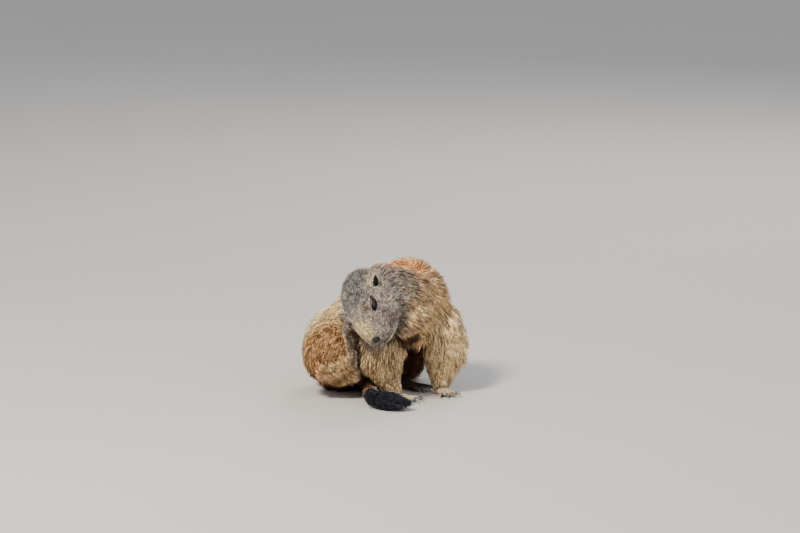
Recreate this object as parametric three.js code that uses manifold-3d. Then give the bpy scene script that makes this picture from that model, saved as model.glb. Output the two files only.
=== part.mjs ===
// An alpine marmot that sits hunched and scratches its right cheek with its right hind foot.
// Millimetres, +Z up. The viewer stands at -Y; +X is to the viewer's right.
import * as THREE from "three";
import { mergeVertices } from "three/addons/utils/BufferGeometryUtils.js";
import Module from "manifold-3d";

const wasm = await Module();
wasm.setup();

// Driving sizes
const GAP = 0.3; // clearance between touching nodes
const EYE_RADIUS = 6.4;
const EAR_HEIGHT = 21;
const FORE_PALM = { length: 27, width: 25, thickness: 12 };
const HIND_SOLE = { length: 66, width: 27, thickness: 13 };
const FORE_TOE = { length: 15, radius: 3.7 };
const HIND_TOE = { length: 17, radius: 3.8 };
const CLAW = { length: 11, radius: 1.9 };

// Where the joints are in this pose, and the radii of the body there, coat included
const NOSE_TIP = [-12.6, -112, 95.6];
const FACE_AXIS = new THREE.Vector3(0.08, -0.77, -0.63).normalize();
const FACE_ROLL = 60; // degrees that the crown leans to the animal's right

const vec = (a) => new THREE.Vector3(...a);
const WORLD_UP = new THREE.Vector3(0, 0, 1);

// Turns a closed geometry into a solid.
function solid(geometry) {
  const bare = geometry.clone();
  bare.deleteAttribute("normal");
  bare.deleteAttribute("uv");
  const merged = mergeVertices(bare, 1e-4);
  return new wasm.Manifold(
    new wasm.Mesh({
      numProp: 3,
      vertProperties: new Float32Array(merged.attributes.position.array),
      triVerts: new Uint32Array(merged.index.array),
    }),
  );
}

// The geometry of a solid, for a mesh.
function geometryOf(body) {
  const mesh = body.getMesh();
  const geometry = new THREE.BufferGeometry();
  geometry.setAttribute("position", new THREE.BufferAttribute(new Float32Array(mesh.vertProperties), 3));
  geometry.setIndex(new THREE.BufferAttribute(new Uint32Array(mesh.triVerts), 1));
  geometry.computeVertexNormals();
  return geometry;
}

const unite = (bodies) => wasm.Manifold.union(bodies);

// An ellipsoid with its own axes, placed in a frame.
function ellipsoid(centre, radii, frame = new THREE.Matrix4(), grow = 0, detail = 10) {
  const ball = new THREE.SphereGeometry(1, detail, Math.round(detail * 0.6));
  ball.scale(...radii.map((r) => r + grow));
  ball.translate(...centre);
  ball.applyMatrix4(frame);
  return solid(ball);
}

// The rings of a body that follows a curve through its stations, with a rounded cap at each end.
// A station is [x, y, z, half width, half height].
function ringsOf(form, grow = 0) {
  const { stations, up = WORLD_UP, steps = 2, caps = [0.7, 0.7], capSteps = 2, stiff = 0 } = form;
  const path = new THREE.CatmullRomCurve3(stations.map((s) => vec(s.slice(0, 3))), false, "centripetal");
  const girth = new THREE.CatmullRomCurve3(stations.map((s) => new THREE.Vector3(s[3], s[4] ?? s[3], 0)));
  const count = (stations.length - 1) * steps;
  const chord = path.getPoint(1).sub(path.getPoint(0)).normalize();
  const rings = [];
  for (let i = 0; i <= count; i++) {
    const along = path.getTangent(i / count).lerp(chord, stiff).normalize();
    const side = new THREE.Vector3().crossVectors(along, up).normalize();
    const top = new THREE.Vector3().crossVectors(side, along).normalize();
    const size = girth.getPoint(i / count);
    rings.push({ centre: path.getPoint(i / count), along, side, top, w: size.x + grow, h: size.y + grow });
  }
  const dome = (end, sign, share) => {
    const made = [];
    for (let k = 1; k <= capSteps; k++) {
      const turn = ((k / capSteps) * Math.PI) / 2;
      const reach = share * Math.min(end.w, end.h) * Math.sin(turn) * sign;
      const centre = end.centre.clone().addScaledVector(end.along, reach);
      made.push({ ...end, centre, w: end.w * Math.cos(turn), h: end.h * Math.cos(turn) });
    }
    return made;
  };
  return [...dome(rings[0], -1, caps[0]).reverse(), ...rings, ...dome(rings[count], 1, caps[1])];
}

// A point on a loft and the ways along, around and out of it there.
// q is the ring, as a real number, and angle is measured from its side. Past an end it runs on straight.
function surfaceAt(rings, q, angle) {
  const kept = THREE.MathUtils.clamp(q, 0.45, rings.length - 1.45);
  const i = Math.floor(kept);
  const on = (ring) =>
    ring.centre
      .clone()
      .addScaledVector(ring.side, ring.w * Math.cos(angle))
      .addScaledVector(ring.top, ring.h * Math.sin(angle));
  const turned = (ring) =>
    new THREE.Vector3()
      .addScaledVector(ring.side, -ring.w * Math.sin(angle))
      .addScaledVector(ring.top, ring.h * Math.cos(angle));
  const along = on(rings[i + 1]).sub(on(rings[i]));
  const around = turned(rings[i]).lerp(turned(rings[i + 1]), kept - i);
  const point = on(rings[i]).lerp(on(rings[i + 1]), kept - i);
  const out = new THREE.Vector3().crossVectors(around, along).normalize();
  const middle = rings[i].centre.clone().lerp(rings[i + 1].centre, kept - i);
  if (out.dot(point.clone().sub(middle)) < 0) out.negate();
  point.addScaledVector(rings[i + 1].centre.clone().sub(rings[i].centre), q - kept);
  return { point, along, around, out };
}

// Whether a point lies inside a loft.
function inside(rings, point) {
  for (let i = 0; i < rings.length - 1; i++) {
    const [a, b] = [rings[i], rings[i + 1]];
    const axis = b.centre.clone().sub(a.centre);
    const share = point.clone().sub(a.centre).dot(axis) / axis.lengthSq();
    if (share < 0 || share > 1) continue;
    const offset = point.clone().sub(a.centre.clone().lerp(b.centre, share));
    const w = THREE.MathUtils.lerp(a.w, b.w, share);
    const h = THREE.MathUtils.lerp(a.h, b.h, share);
    if ((offset.dot(a.side) / w) ** 2 + (offset.dot(a.top) / h) ** 2 < 1) return true;
  }
  return false;
}

// A closed skin over the rings, whose first and last are poles.
function loft(form, grow = 0) {
  const rings = ringsOf(form, grow);
  const sides = form.sides ?? 12;
  const points = [rings[0].centre];
  for (const ring of rings.slice(1, -1)) {
    for (let j = 0; j < sides; j++) {
      const angle = (j / sides) * 2 * Math.PI;
      points.push(
        ring.centre
          .clone()
          .addScaledVector(ring.side, ring.w * Math.cos(angle))
          .addScaledVector(ring.top, ring.h * Math.sin(angle)),
      );
    }
  }
  points.push(rings[rings.length - 1].centre);
  const last = points.length - 1;
  const faces = [];
  const vertex = (row, j) => 1 + row * sides + (j % sides);
  const rows = rings.length - 2;
  for (let j = 0; j < sides; j++) {
    faces.push(0, vertex(0, j), vertex(0, j + 1));
    for (let row = 0; row < rows - 1; row++) {
      faces.push(vertex(row, j), vertex(row + 1, j), vertex(row + 1, j + 1));
      faces.push(vertex(row, j), vertex(row + 1, j + 1), vertex(row, j + 1));
    }
    faces.push(vertex(rows - 1, j), last, vertex(rows - 1, j + 1));
  }
  const geometry = new THREE.BufferGeometry().setFromPoints(points);
  geometry.setIndex(faces);
  const made = solid(geometry);
  return made.volume() < 0 ? solid(flipped(geometry)) : made;
}

// The same geometry with its faces turned round.
function flipped(geometry) {
  const index = geometry.index.array;
  for (let i = 0; i < index.length; i += 3) [index[i], index[i + 1]] = [index[i + 1], index[i]];
  return geometry;
}

// The trunk and limbs as lofts
const FORMS = {
  thorax: {
    stations: [[6, 68, 104, 52, 57], [36, 42, 119, 53, 65], [44, 4, 126, 46, 56]],
    caps: [0.5, 0.55],
    sides: 18,
    steps: 3,
    stiff: 0.75,
  },
  abdomen: {
    stations: [[-45, 48, 72, 58, 56], [-6, 70, 94, 65, 62], [28, 58, 110, 56, 58]],
    caps: [0.4, 0.4],
    sides: 18,
    steps: 3,
    stiff: 0.75,
  },
  rump: {
    stations: [[-84, 24, 46, 42, 46], [-60, 36, 58, 60, 60], [-30, 52, 72, 58, 58]],
    caps: [0.5, 0.4],
    sides: 18,
    stiff: 0.75,
  },
  neck: {
    stations: [[34, -6, 124, 45, 53], [10, -31, 140, 45, 50], [-17, -45, 150, 41, 44]],
    caps: [0.4, 0.3],
    sides: 16,
  },
  upper_arm_right: {
    stations: [[8, 4, 104, 33, 36], [-1, -24, 80, 33, 34], [-5, -42, 58, 29, 29]],
    up: new THREE.Vector3(0, -1, 0),
  },
  forearm_right: {
    stations: [[-5, -41, 56, 27, 27], [2, -53, 33, 22, 22], [12, -62, 13, 15, 15]],
    up: new THREE.Vector3(0, -1, 0),
    caps: [0.6, 0.5],
  },
  upper_arm_left: {
    stations: [[68, 29, 105, 31, 34], [79, 14, 80, 32, 33], [84, 4, 58, 30, 30]],
    up: new THREE.Vector3(0, -1, 0),
  },
  forearm_left: {
    stations: [[84, 4, 56, 28, 28], [81, -6, 33, 22, 23], [78, -14, 13, 15, 16]],
    up: new THREE.Vector3(0, -1, 0),
    caps: [0.6, 0.5],
  },
  thigh_right: {
    stations: [[-56, 16, 62, 42, 44], [-75, -20, 62, 41, 43], [-84, -42, 56, 33, 36]],
    sides: 14,
  },
  shank_right: {
    stations: [[-80, -42, 50, 26, 28], [-60, -50, 42, 21, 23], [-43, -52, 34, 14, 15]],
    caps: [0.6, 0.5],
  },
  thigh_left: {
    stations: [[-38, 80, 50, 40, 48], [-4, 92, 46, 40, 47], [36, 84, 38, 34, 39]],
    sides: 14,
  },
  shank_left: {
    stations: [[33, 79, 37, 24, 26], [22, 60, 24, 19, 19], [10, 44, 14, 13, 13]],
    caps: [0.6, 0.5],
  },
  tail_base: {
    stations: [
      [-44, 30, 18, 15, 16],
      [-26, -12, 14, 14, 15],
      [-21, -56, 12.5, 12.5, 13],
      [-18, -91, 12.5, 13, 12.5],
    ],
    caps: [0.5, 0.3],
  },
  tail_tip: {
    stations: [[-19, -87, 12.5, 14, 13], [-12, -111, 14, 19, 15], [6, -128, 14, 19, 15], [26, -133, 12, 13, 11]],
    caps: [0.3, 1.0],
    capSteps: 3,
  },
};

// The fleshy seat under the rump, which flattens on the floor
const SEAT = { centre: [-60, 14, 34], radii: [40, 40, 36] };

// The full ruff where the cheek runs into the near side of the neck
const RUFF = { centre: [27, -54, 123], radii: [33, 28, 28] };

// The coat: a core that reaches half way to the tips, and flat locks that grow out of it and overlap.
// depth is how far the core keeps from the tips, pitch the way from row to row, fill the share of a row
// that its locks take up, back how far the lie runs towards a form's first station and sag how far it
// falls to the floor.
const ROOT_DEPTH = 3.2; // how far a root is sunk in the core
const LOCKS = {
  body: { depth: 6.5, length: 42, width: 29, fill: 0.93, thickness: 4.6, rise: 7, pitch: 29 },
  leg: { depth: 6, length: 38, width: 27, fill: 0.93, thickness: 4.2, rise: 6.5, pitch: 28 },
  foot: { depth: 3.5, length: 29, width: 24, fill: 0.9, thickness: 3.4, rise: 4, pitch: 24 },
  brush: { depth: 4.5, length: 30, width: 20, fill: 0.85, thickness: 4.4, rise: 6, pitch: 19 },
};
const COATS = {
  neck: { lock: LOCKS.body, back: 1, sag: 0.5 },
  thorax: { lock: LOCKS.body, back: 1, sag: 0.7 },
  abdomen: { lock: LOCKS.body, back: 1, sag: 0.5 },
  rump: { lock: LOCKS.body, back: 1, sag: 0.6 },
  upper_arm_right: { lock: LOCKS.leg, back: -1, sag: 0.5 },
  upper_arm_left: { lock: LOCKS.leg, back: -1, sag: 0.5 },
  forearm_right: { lock: LOCKS.foot, back: -1, sag: 0 },
  forearm_left: { lock: LOCKS.foot, back: -1, sag: 0 },
  thigh_right: { lock: LOCKS.leg, back: -1, sag: 0.4 },
  thigh_left: { lock: LOCKS.leg, back: -1, sag: 0.4 },
  tail_tip: { lock: LOCKS.brush, back: -1, sag: 0 },
};

// A seeded source of numbers from 0 to 1.
function seeded(seed) {
  let state = seed;
  return () => {
    state = (state * 1664525 + 1013904223) % 4294967296;
    return state / 4294967296;
  };
}

// The steps in q and angle that carry a lock its own length along its lie.
function combed({ along, around }, lie, length) {
  const [aa, ab, bb] = [along.dot(along), along.dot(around), around.dot(around)];
  const [la, lb] = [lie.dot(along), lie.dot(around)];
  const det = Math.max(aa * bb - ab * ab, 1e-6);
  const [dq, da] = [(la * bb - lb * ab) / det, (lb * aa - la * ab) / det];
  const run = along.clone().multiplyScalar(dq).addScaledVector(around, da).length();
  return [(dq * length) / run, (da * length) / run];
}

// One flat lock over a core: it leaves its root, bends over, follows the body and tapers to a tip.
function lockOn(rings, { q, angle, lie, size }, grow) {
  const [dq, da] = combed(surfaceAt(rings, q, angle), lie, size.length);
  const stages = [
    { share: 0, height: -ROOT_DEPTH, wide: 0.8, thick: 1 },
    { share: 0.45, height: size.rise * 0.6, wide: 1, thick: 0.8 },
    { share: 0.8, height: size.rise * 0.9, wide: 0.62, thick: 0.5 },
  ];
  const points = [];
  for (const { share, height, wide, thick } of stages) {
    const here = surfaceAt(rings, q + dq * share, angle + da * share);
    const ahead = here.along.clone().multiplyScalar(dq).addScaledVector(here.around, da);
    const across = new THREE.Vector3().crossVectors(here.out, ahead).normalize();
    const centre = here.point.addScaledVector(here.out, height);
    const halfWidth = (size.width * wide) / 2 + grow;
    const halfThick = (size.thickness * thick) / 2 + grow;
    for (const [u, v] of [[1, 0], [0, 1], [-1, 0], [0, -1]]) {
      points.push(
        centre.clone().addScaledVector(across, u * halfWidth).addScaledVector(here.out, v * halfThick),
      );
    }
  }
  const end = surfaceAt(rings, q + dq, angle + da);
  const tip = end.point.addScaledVector(end.out, size.rise);
  const last = points.slice(-4).reduce((sum, p) => sum.add(p), new THREE.Vector3()).multiplyScalar(0.25);
  tip.addScaledVector(tip.clone().sub(last).normalize(), grow * 3);
  points.push(tip);
  const faces = [0, 1, 2, 0, 2, 3];
  for (const row of [0, 4]) {
    for (let j = 0; j < 4; j++) {
      const [a, b] = [row + j, row + ((j + 1) % 4)];
      faces.push(a, a + 4, b + 4, a, b + 4, b);
    }
  }
  for (let j = 0; j < 4; j++) faces.push(8 + j, 12, 8 + ((j + 1) % 4));
  const geometry = new THREE.BufferGeometry().setFromPoints(points);
  geometry.setIndex(faces);
  const made = solid(geometry);
  return made.volume() < 0 ? solid(flipped(geometry)) : made;
}

// The core of a form, which its locks grow from.
function coreOf(name) {
  const form = FORMS[name];
  if (!COATS[name]) return form;
  const { depth } = COATS[name].lock;
  const slim = form.stations.map(([x, y, z, w, h = w]) => [x, y, z, w - depth, h - depth]);
  return { ...form, stations: slim };
}

const RINGS = Object.fromEntries(Object.keys(FORMS).map((name) => [name, ringsOf(coreOf(name))]));

// Whether a point is buried in the head or in the core of a form other than its own.
function buried(point, own) {
  if (point.clone().sub(vec(SEAT.centre)).divide(vec(SEAT.radii)).length() < 1) return true;
  const inHead = point.clone().applyMatrix4(HEAD_FRAME.clone().invert()).sub(HEAD_MIDDLE).divide(HEAD_HALF);
  if (inHead.length() < 1) return true;
  return Object.entries(RINGS).some(([name, rings]) => name !== own && inside(rings, point));
}

const LOWEST_LOCK = 5; // no lock starts or ends nearer the floor than this

// Where the locks of a form grow: staggered rows that skip what another part covers.
function lockPlaces(name) {
  const { lock, back, sag } = COATS[name];
  const rings = RINGS[name];
  const random = seeded(name.length * 7919 + name.charCodeAt(0));
  const places = [];
  let q = 1.2;
  for (let row = 0; q < rings.length - 2; row++) {
    const girth = [0, 1, 2, 3].map((k) => surfaceAt(rings, q, (k * Math.PI) / 2).around.length());
    const perimeter = ((girth[0] + girth[1] + girth[2] + girth[3]) / 4) * 2 * Math.PI;
    const count = Math.max(3, Math.round(perimeter / lock.width));
    for (let j = 0; j < count; j++) {
      const angle = ((j + (row % 2) / 2 + (random() - 0.5) * 0.14) / count) * 2 * Math.PI;
      const vary = 0.88 + 0.24 * random();
      const start = surfaceAt(rings, q, angle);
      const lie = start.along.clone().normalize().multiplyScalar(-back);
      lie.z -= sag;
      const size = { ...lock, length: lock.length * vary, width: (lock.fill * perimeter) / count };
      const [dq, da] = combed(start, lie, size.length);
      const stops = [0, 0.5, 1].map((share) => {
        const there = surfaceAt(rings, q + dq * share, angle + da * share);
        return there.point.clone().addScaledVector(there.out, size.rise * share);
      });
      if (stops.some((p) => p.z < LOWEST_LOCK || buried(p, name))) continue;
      places.push({ q, angle, lie, size });
    }
    q += lock.pitch / Math.max(surfaceAt(rings, q, Math.PI / 2).along.length(), 1);
  }
  return places;
}

// A furred part: its core with its locks.
function furred(name, grow) {
  const core = loft(coreOf(name), grow);
  if (!COATS[name]) return core;
  return unite([core, ...lockPlaces(name).map((place) => lockOn(RINGS[name], place, grow))]);
}

// The head's own frame: +X to the nose, +Y to the animal's left, +Z to the crown, nose tip at its origin
const faceLeftLevel = new THREE.Vector3().crossVectors(WORLD_UP, FACE_AXIS).normalize();
const faceUpLevel = new THREE.Vector3().crossVectors(FACE_AXIS, faceLeftLevel);
const roll = THREE.MathUtils.degToRad(FACE_ROLL);
const FACE_UP = faceUpLevel
  .clone()
  .multiplyScalar(Math.cos(roll))
  .addScaledVector(faceLeftLevel, -Math.sin(roll));
const FACE_LEFT = new THREE.Vector3().crossVectors(FACE_UP, FACE_AXIS);
const HEAD_FRAME = new THREE.Matrix4().makeBasis(FACE_AXIS, FACE_LEFT, FACE_UP).setPosition(...NOSE_TIP);
const HEAD_MIDDLE = new THREE.Vector3(-56, 0, -2); // in the head's frame
const HEAD_HALF = new THREE.Vector3(50, 40, 38);

// A loft given in the head's frame.
function headLoft(form, grow) {
  const rigid = HEAD_FRAME.toArray();
  return loft({ up: WORLD_UP, ...form }, grow).transform(rigid);
}

const EYE_PLACE = (side) => [-39.5, side * 23.5, 18];
const EAR_PLACE = (side) => [-74, side * 33, 17];

function head(grow) {
  const skull = headLoft(
    {
      stations: [
        [-94, 0, 4, 34, 34],
        [-75, 0, 4.5, 39.5, 39],
        [-56, 0, 4, 38.5, 37],
        [-42, 0, 3, 35, 34],
        [-28, 0, 0.5, 29, 28.5],
        [-15, 0, -2.5, 24.5, 21.5],
        [-6, 0, -5, 18.5, 14],
      ],
      sides: 16,
      steps: 1,
      caps: [0.35, 0.5],
    },
    grow,
  );
  const extras = [];
  for (const side of [1, -1]) {
    extras.push(ellipsoid([-57, side * 21, -10], [31, 19.5, 22], HEAD_FRAME, grow, 10)); // cheek
    extras.push(ellipsoid([-11.5, side * 11, -7.5], [11, 11.5, 10.5], HEAD_FRAME, grow, 8)); // whisker pad
    extras.push(ellipsoid([-44, side * 20, 24], [14, 10, 9], HEAD_FRAME, grow, 8)); // brow
  }
  return unite([skull, ...extras]);
}

// The cleft of the upper lip, from the nose to the mouth
const philtrum = () => ellipsoid([-0.5, 0, -10], [5, 0.9, 5.5], HEAD_FRAME, 0, 8);

// The rims of the eyelids, one fold above the eye and one below
function lids(side) {
  const place = vec(EYE_PLACE(side));
  const opening = new THREE.Vector3(0.28, side, 0.22).normalize();
  const along = new THREE.Vector3(0.9, side * -0.22, -0.36).normalize();
  const across = new THREE.Vector3().crossVectors(opening, along).normalize();
  return [1, -1].map((fold) => {
    const line = [-1, -0.55, 0, 0.55, 1].map((t) => {
      const bow = Math.cos((t * Math.PI) / 2);
      return place
        .clone()
        .addScaledVector(along, t * (EYE_RADIUS + 1.6))
        .addScaledVector(across, fold * bow * (EYE_RADIUS - 2))
        .addScaledVector(opening, bow * 4.4 + 0.6);
    });
    return headLoft({
      stations: line.map((p) => [...p.toArray(), 1.3]),
      sides: 5,
      steps: 1,
      caps: [1, 1],
      capSteps: 1,
      up: opening,
    });
  });
}

const EYE_RADII = [EYE_RADIUS, EYE_RADIUS, EYE_RADIUS];
const eye = (side, grow) => ellipsoid(EYE_PLACE(side), EYE_RADII, HEAD_FRAME, grow, 10);

const LIP_GAP = 0.9; // the line of the mouth is wider than the other seams

function jaw(grow) {
  return headLoft(
    {
      stations: [[-48, 0, -23, 23, 12], [-32, 0, -23, 21, 11.5], [-19, 0, -21, 17, 9], [-10, 0, -18.5, 12, 6.5]],
      caps: [0.4, 0.7],
      sides: 14,
      steps: 1,
    },
    grow ? LIP_GAP : 0,
  );
}

function nose(grow) {
  const pad = ellipsoid([-2.4, 0, -0.6], [4.2, 5.8, 4.4], HEAD_FRAME, grow, 12);
  if (grow) return pad;
  const nostril = (side) => ellipsoid([1.2, side * 3.1, -1.2], [2.6, 1.6, 1.2], HEAD_FRAME, 0, 8);
  const nostrils = [nostril(1), nostril(-1)];
  return pad.subtract(unite(nostrils));
}

// A rounded cup whose hollow faces out and forward
function ear(side, grow) {
  const turn = new THREE.Matrix4().makeRotationFromEuler(new THREE.Euler(side * -0.85, 0.1, side * -0.3));
  const root = new THREE.Matrix4().makeTranslation(...EAR_PLACE(side));
  const frame = HEAD_FRAME.clone().multiply(root).multiply(turn);
  const half = EAR_HEIGHT / 2;
  const pinna = ellipsoid([0, 0, half * 0.4], [half * 0.92, half * 0.5, half], frame, grow, 12);
  if (grow) return pinna;
  const hollow = [half * 0.76, half * 0.55, half * 0.78];
  const cup = ellipsoid([1.2, side * half * 0.4, half * 0.5], hollow, frame, 0, 12);
  return pinna.subtract(cup);
}

// A foot in its own frame: +X to the toes, +Z its back, the sole at z = 0 and the wrist or heel at x = 0
function footParts({ sole, toe, toes, frame }, grow = 0) {
  const { length, width, thickness } = sole;
  const rigid = frame.toArray();
  const palm = loft(
    {
      stations: [
        [2, 0, thickness * 0.55, width * 0.32, thickness * 0.55],
        [length * 0.5, 0, thickness * 0.45, width * 0.42, thickness * 0.48],
        [length * 0.92, 0, thickness * 0.36, width * 0.46, thickness * 0.38],
      ],
      sides: 10,
      steps: 1,
      caps: [0.8, 0.7],
    },
    grow,
  );
  const flesh = [palm];
  const claws = [];
  for (let i = 0; i < toes; i++) {
    const spread = toes === 1 ? 0 : (i / (toes - 1)) * 2 - 1;
    const heading = spread * 0.28;
    const reach = toe.length * (1 - 0.28 * spread * spread);
    const root = [length * 0.84, spread * width * 0.37, toe.radius];
    const point = (d, rise) => [
      root[0] + Math.cos(heading) * d,
      root[1] + Math.sin(heading) * d,
      root[2] + rise,
    ];
    flesh.push(
      loft(
        {
          stations: [
            [...point(0, 0.6), toe.radius],
            [...point(reach * 0.55, 1.4), toe.radius * 0.98],
            [...point(reach, 0.2), toe.radius * 0.9],
          ],
          sides: 6,
          steps: 1,
          caps: [0.6, 0.9],
        },
        grow,
      ),
    );
    const base = reach + toe.radius * 0.35;
    claws.push({
      stations: [
        [...point(base - 2, 1.2), CLAW.radius * 0.85, CLAW.radius],
        [...point(base + CLAW.length * 0.45, 1.3), CLAW.radius * 0.7, CLAW.radius * 0.8],
        [...point(base + CLAW.length, -1.8), 0.4],
      ],
      sides: 5,
      steps: 1,
      capSteps: 1,
      caps: [0.6, 1.2],
    });
  }
  return {
    flesh: () => unite(flesh).transform(rigid),
    claws: claws.map((form) => () => loft(form, 0).transform(rigid)),
  };
}

// A frame for a foot: where its heel is, which way its toes point and which way its back faces
function footFrame(heel, toToes, back) {
  const x = vec(toToes).normalize();
  const y = new THREE.Vector3().crossVectors(vec(back), x).normalize();
  const z = new THREE.Vector3().crossVectors(x, y);
  return new THREE.Matrix4().makeBasis(x, y, z).setPosition(...heel);
}

const LEVEL = [0, 0, 1];
const FEET = {
  forepaw_right: {
    sole: FORE_PALM,
    toe: FORE_TOE,
    toes: 4,
    frame: footFrame([9, -60, 0], [0.86, -0.5, 0], LEVEL),
  },
  forepaw_left: {
    sole: FORE_PALM,
    toe: FORE_TOE,
    toes: 4,
    frame: footFrame([77, -10, 0], [0.35, -0.94, 0], LEVEL),
  },
  hind_foot_right: {
    sole: HIND_SOLE,
    toe: HIND_TOE,
    toes: 5,
    frame: footFrame([-36, -54, 30], [-13, -1, 82], [-0.87, 0.46, -0.15]),
  },
  hind_foot_left: {
    sole: HIND_SOLE,
    toe: HIND_TOE,
    toes: 5,
    frame: footFrame([4, 48, 0], [0.72, -0.69, 0], LEVEL),
  },
};

// Every node, each as a solid that can be grown. A later node is cut clear of the ones before it.
const nodes = [];
const add = (name, material, shape) => nodes.push({ name, material, shape });

for (const side of [1, -1]) add(side > 0 ? "eye_left" : "eye_right", "eye", (g) => eye(side, g));
add("nose", "nose", nose);
add("jaw", "jaw", jaw);
add("head", "head", (g) => (g ? head(g) : unite([head(0), ...lids(1), ...lids(-1)]).subtract(philtrum())));
for (const side of [1, -1]) add(side > 0 ? "ear_left" : "ear_right", "ear", (g) => ear(side, g));

for (const [name, foot] of Object.entries(FEET)) {
  const kind = name.startsWith("fore") ? "paw" : "hind_foot";
  const parts = footParts(foot);
  const grown = footParts(foot, GAP);
  add(name, kind, (g) => (g ? grown : parts).flesh());
  parts.claws.forEach((claw, i) => add(name + "_claw_" + (i + 1), "claw", claw));
}

add("neck", "neck", (g) => unite([furred("neck", g), ellipsoid(RUFF.centre, RUFF.radii, undefined, g, 14)]));
for (const name of ["thorax", "abdomen"]) add(name, name, (g) => furred(name, g));
add("rump", "rump", (g) => unite([furred("rump", g), ellipsoid(SEAT.centre, SEAT.radii, undefined, g, 14)]));
for (const side of ["right", "left"]) {
  for (const limb of ["upper_arm", "forearm", "thigh", "shank"]) {
    add(limb + "_" + side, limb, (g) => furred(limb + "_" + side, g));
  }
}
for (const name of ["tail_base", "tail_tip"]) add(name, name, (g) => furred(name, g));

const COLOURS = {
  eye: ["#120d0b", 0.12],
  nose: ["#3a3432", 0.45],
  jaw: ["#a89a80", 0.9],
  head: ["#7c746c", 0.9],
  ear: ["#a39375", 0.85],
  paw: ["#b99f72", 0.85],
  hind_foot: ["#8a7a66", 0.8],
  claw: ["#5d5650", 0.4],
  neck: ["#94826a", 0.95],
  thorax: ["#b0854f", 0.95],
  abdomen: ["#b1874f", 0.95],
  rump: ["#b98a50", 0.95],
  upper_arm: ["#a98b5d", 0.95],
  forearm: ["#b3955f", 0.95],
  thigh: ["#bb8748", 0.95],
  shank: ["#b07f45", 0.95],
  tail_base: ["#5c4630", 0.95],
  tail_tip: ["#17161a", 0.95],
};

// The floor trims whatever reaches below it to a small flat
const FLOOR_TRIM = 400;
const floorBlock = solid(new THREE.BoxGeometry(FLOOR_TRIM, FLOOR_TRIM, 100).translate(0, 0, -50));

const overlapping = (a, b) => [0, 1, 2].every((k) => a.min[k] < b.max[k] && b.min[k] < a.max[k]);
const SMALLEST_EDGE = 0.1; // shorter edges, left where locks cross, are closed up
const finished = [];
const marmot = new THREE.Group();

for (const { name, material, shape } of nodes) {
  let body = shape(0).subtract(floorBlock);
  const box = body.boundingBox();
  const cutters = finished.filter((other) => overlapping(other.box, box)).map((other) => other.grown);
  if (cutters.length) body = body.subtract(unite(cutters));
  const pieces = body.decompose().sort((a, b) => b.volume() - a.volume());
  body = pieces[0].simplify(SMALLEST_EDGE);
  const grown = shape(GAP);
  finished.push({ name, grown, box: grown.boundingBox() });
  const [colour, roughness] = COLOURS[material];
  const mesh = new THREE.Mesh(
    geometryOf(body),
    new THREE.MeshStandardMaterial({ color: colour, roughness, metalness: 0 }),
  );
  mesh.name = name;
  marmot.add(mesh);
}

// The origin is under the middle of the whole body, at floor level
const extent = new THREE.Box3().setFromObject(marmot);
const middle = extent.getCenter(new THREE.Vector3());
marmot.position.set(-middle.x, -middle.y, -extent.min.z);

export default marmot;
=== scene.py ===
"""An alpine marmot that sits hunched and scratches its cheek with a raised hind foot.

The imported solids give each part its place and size. This script lays one skin inside the flesh parts,
works the face, the ears and the toes into it, grows the coat on it in solid tufts, and sets the eyes,
claws and whiskers. Lengths of the body are millimetres in the pose's own frame, where the viewer stands
at -Y and +X is to the viewer's right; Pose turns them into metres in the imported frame.
"""

import logging
import math
from collections.abc import Callable
from dataclasses import dataclass, field, replace
from enum import Enum

import bmesh
import bpy
import numpy as np
from mathutils import Matrix, Vector, kdtree


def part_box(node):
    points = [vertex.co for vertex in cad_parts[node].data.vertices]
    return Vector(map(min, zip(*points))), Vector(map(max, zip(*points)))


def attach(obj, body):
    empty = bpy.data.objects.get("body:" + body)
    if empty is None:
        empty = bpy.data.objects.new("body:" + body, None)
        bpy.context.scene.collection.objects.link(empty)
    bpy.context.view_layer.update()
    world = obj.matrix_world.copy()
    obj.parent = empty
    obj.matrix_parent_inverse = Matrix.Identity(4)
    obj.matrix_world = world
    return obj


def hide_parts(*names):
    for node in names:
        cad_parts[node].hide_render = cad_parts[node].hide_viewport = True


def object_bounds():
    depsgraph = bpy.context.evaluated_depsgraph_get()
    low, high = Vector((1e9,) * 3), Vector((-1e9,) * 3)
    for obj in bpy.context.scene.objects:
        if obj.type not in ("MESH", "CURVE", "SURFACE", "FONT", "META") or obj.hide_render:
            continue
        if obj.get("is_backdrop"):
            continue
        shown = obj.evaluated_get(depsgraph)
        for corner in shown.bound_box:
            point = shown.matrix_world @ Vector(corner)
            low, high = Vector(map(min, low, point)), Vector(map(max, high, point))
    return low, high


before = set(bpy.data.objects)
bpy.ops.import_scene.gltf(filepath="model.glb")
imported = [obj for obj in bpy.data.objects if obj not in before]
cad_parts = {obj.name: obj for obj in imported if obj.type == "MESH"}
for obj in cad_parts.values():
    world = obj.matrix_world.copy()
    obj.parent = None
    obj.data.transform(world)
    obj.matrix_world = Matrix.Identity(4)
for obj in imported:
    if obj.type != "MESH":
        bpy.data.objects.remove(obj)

CAD_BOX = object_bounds()
MM = 0.001
BODY = "root"
log = logging.getLogger("marmot")


def unit(vector: np.ndarray) -> np.ndarray:
    """Scales a vector, or each row of a table of vectors, to length one."""
    vector = np.asarray(vector, float)
    length = np.linalg.norm(vector, axis=-1, keepdims=True)
    return vector / np.maximum(length, 1e-12)


def smoothstep(value: np.ndarray, low: float, high: float) -> np.ndarray:
    """Rises smoothly from 0 at low to 1 at high."""
    share = np.clip((np.asarray(value, float) - low) / (high - low), 0.0, 1.0)
    return share * share * (3.0 - 2.0 * share)


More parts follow.
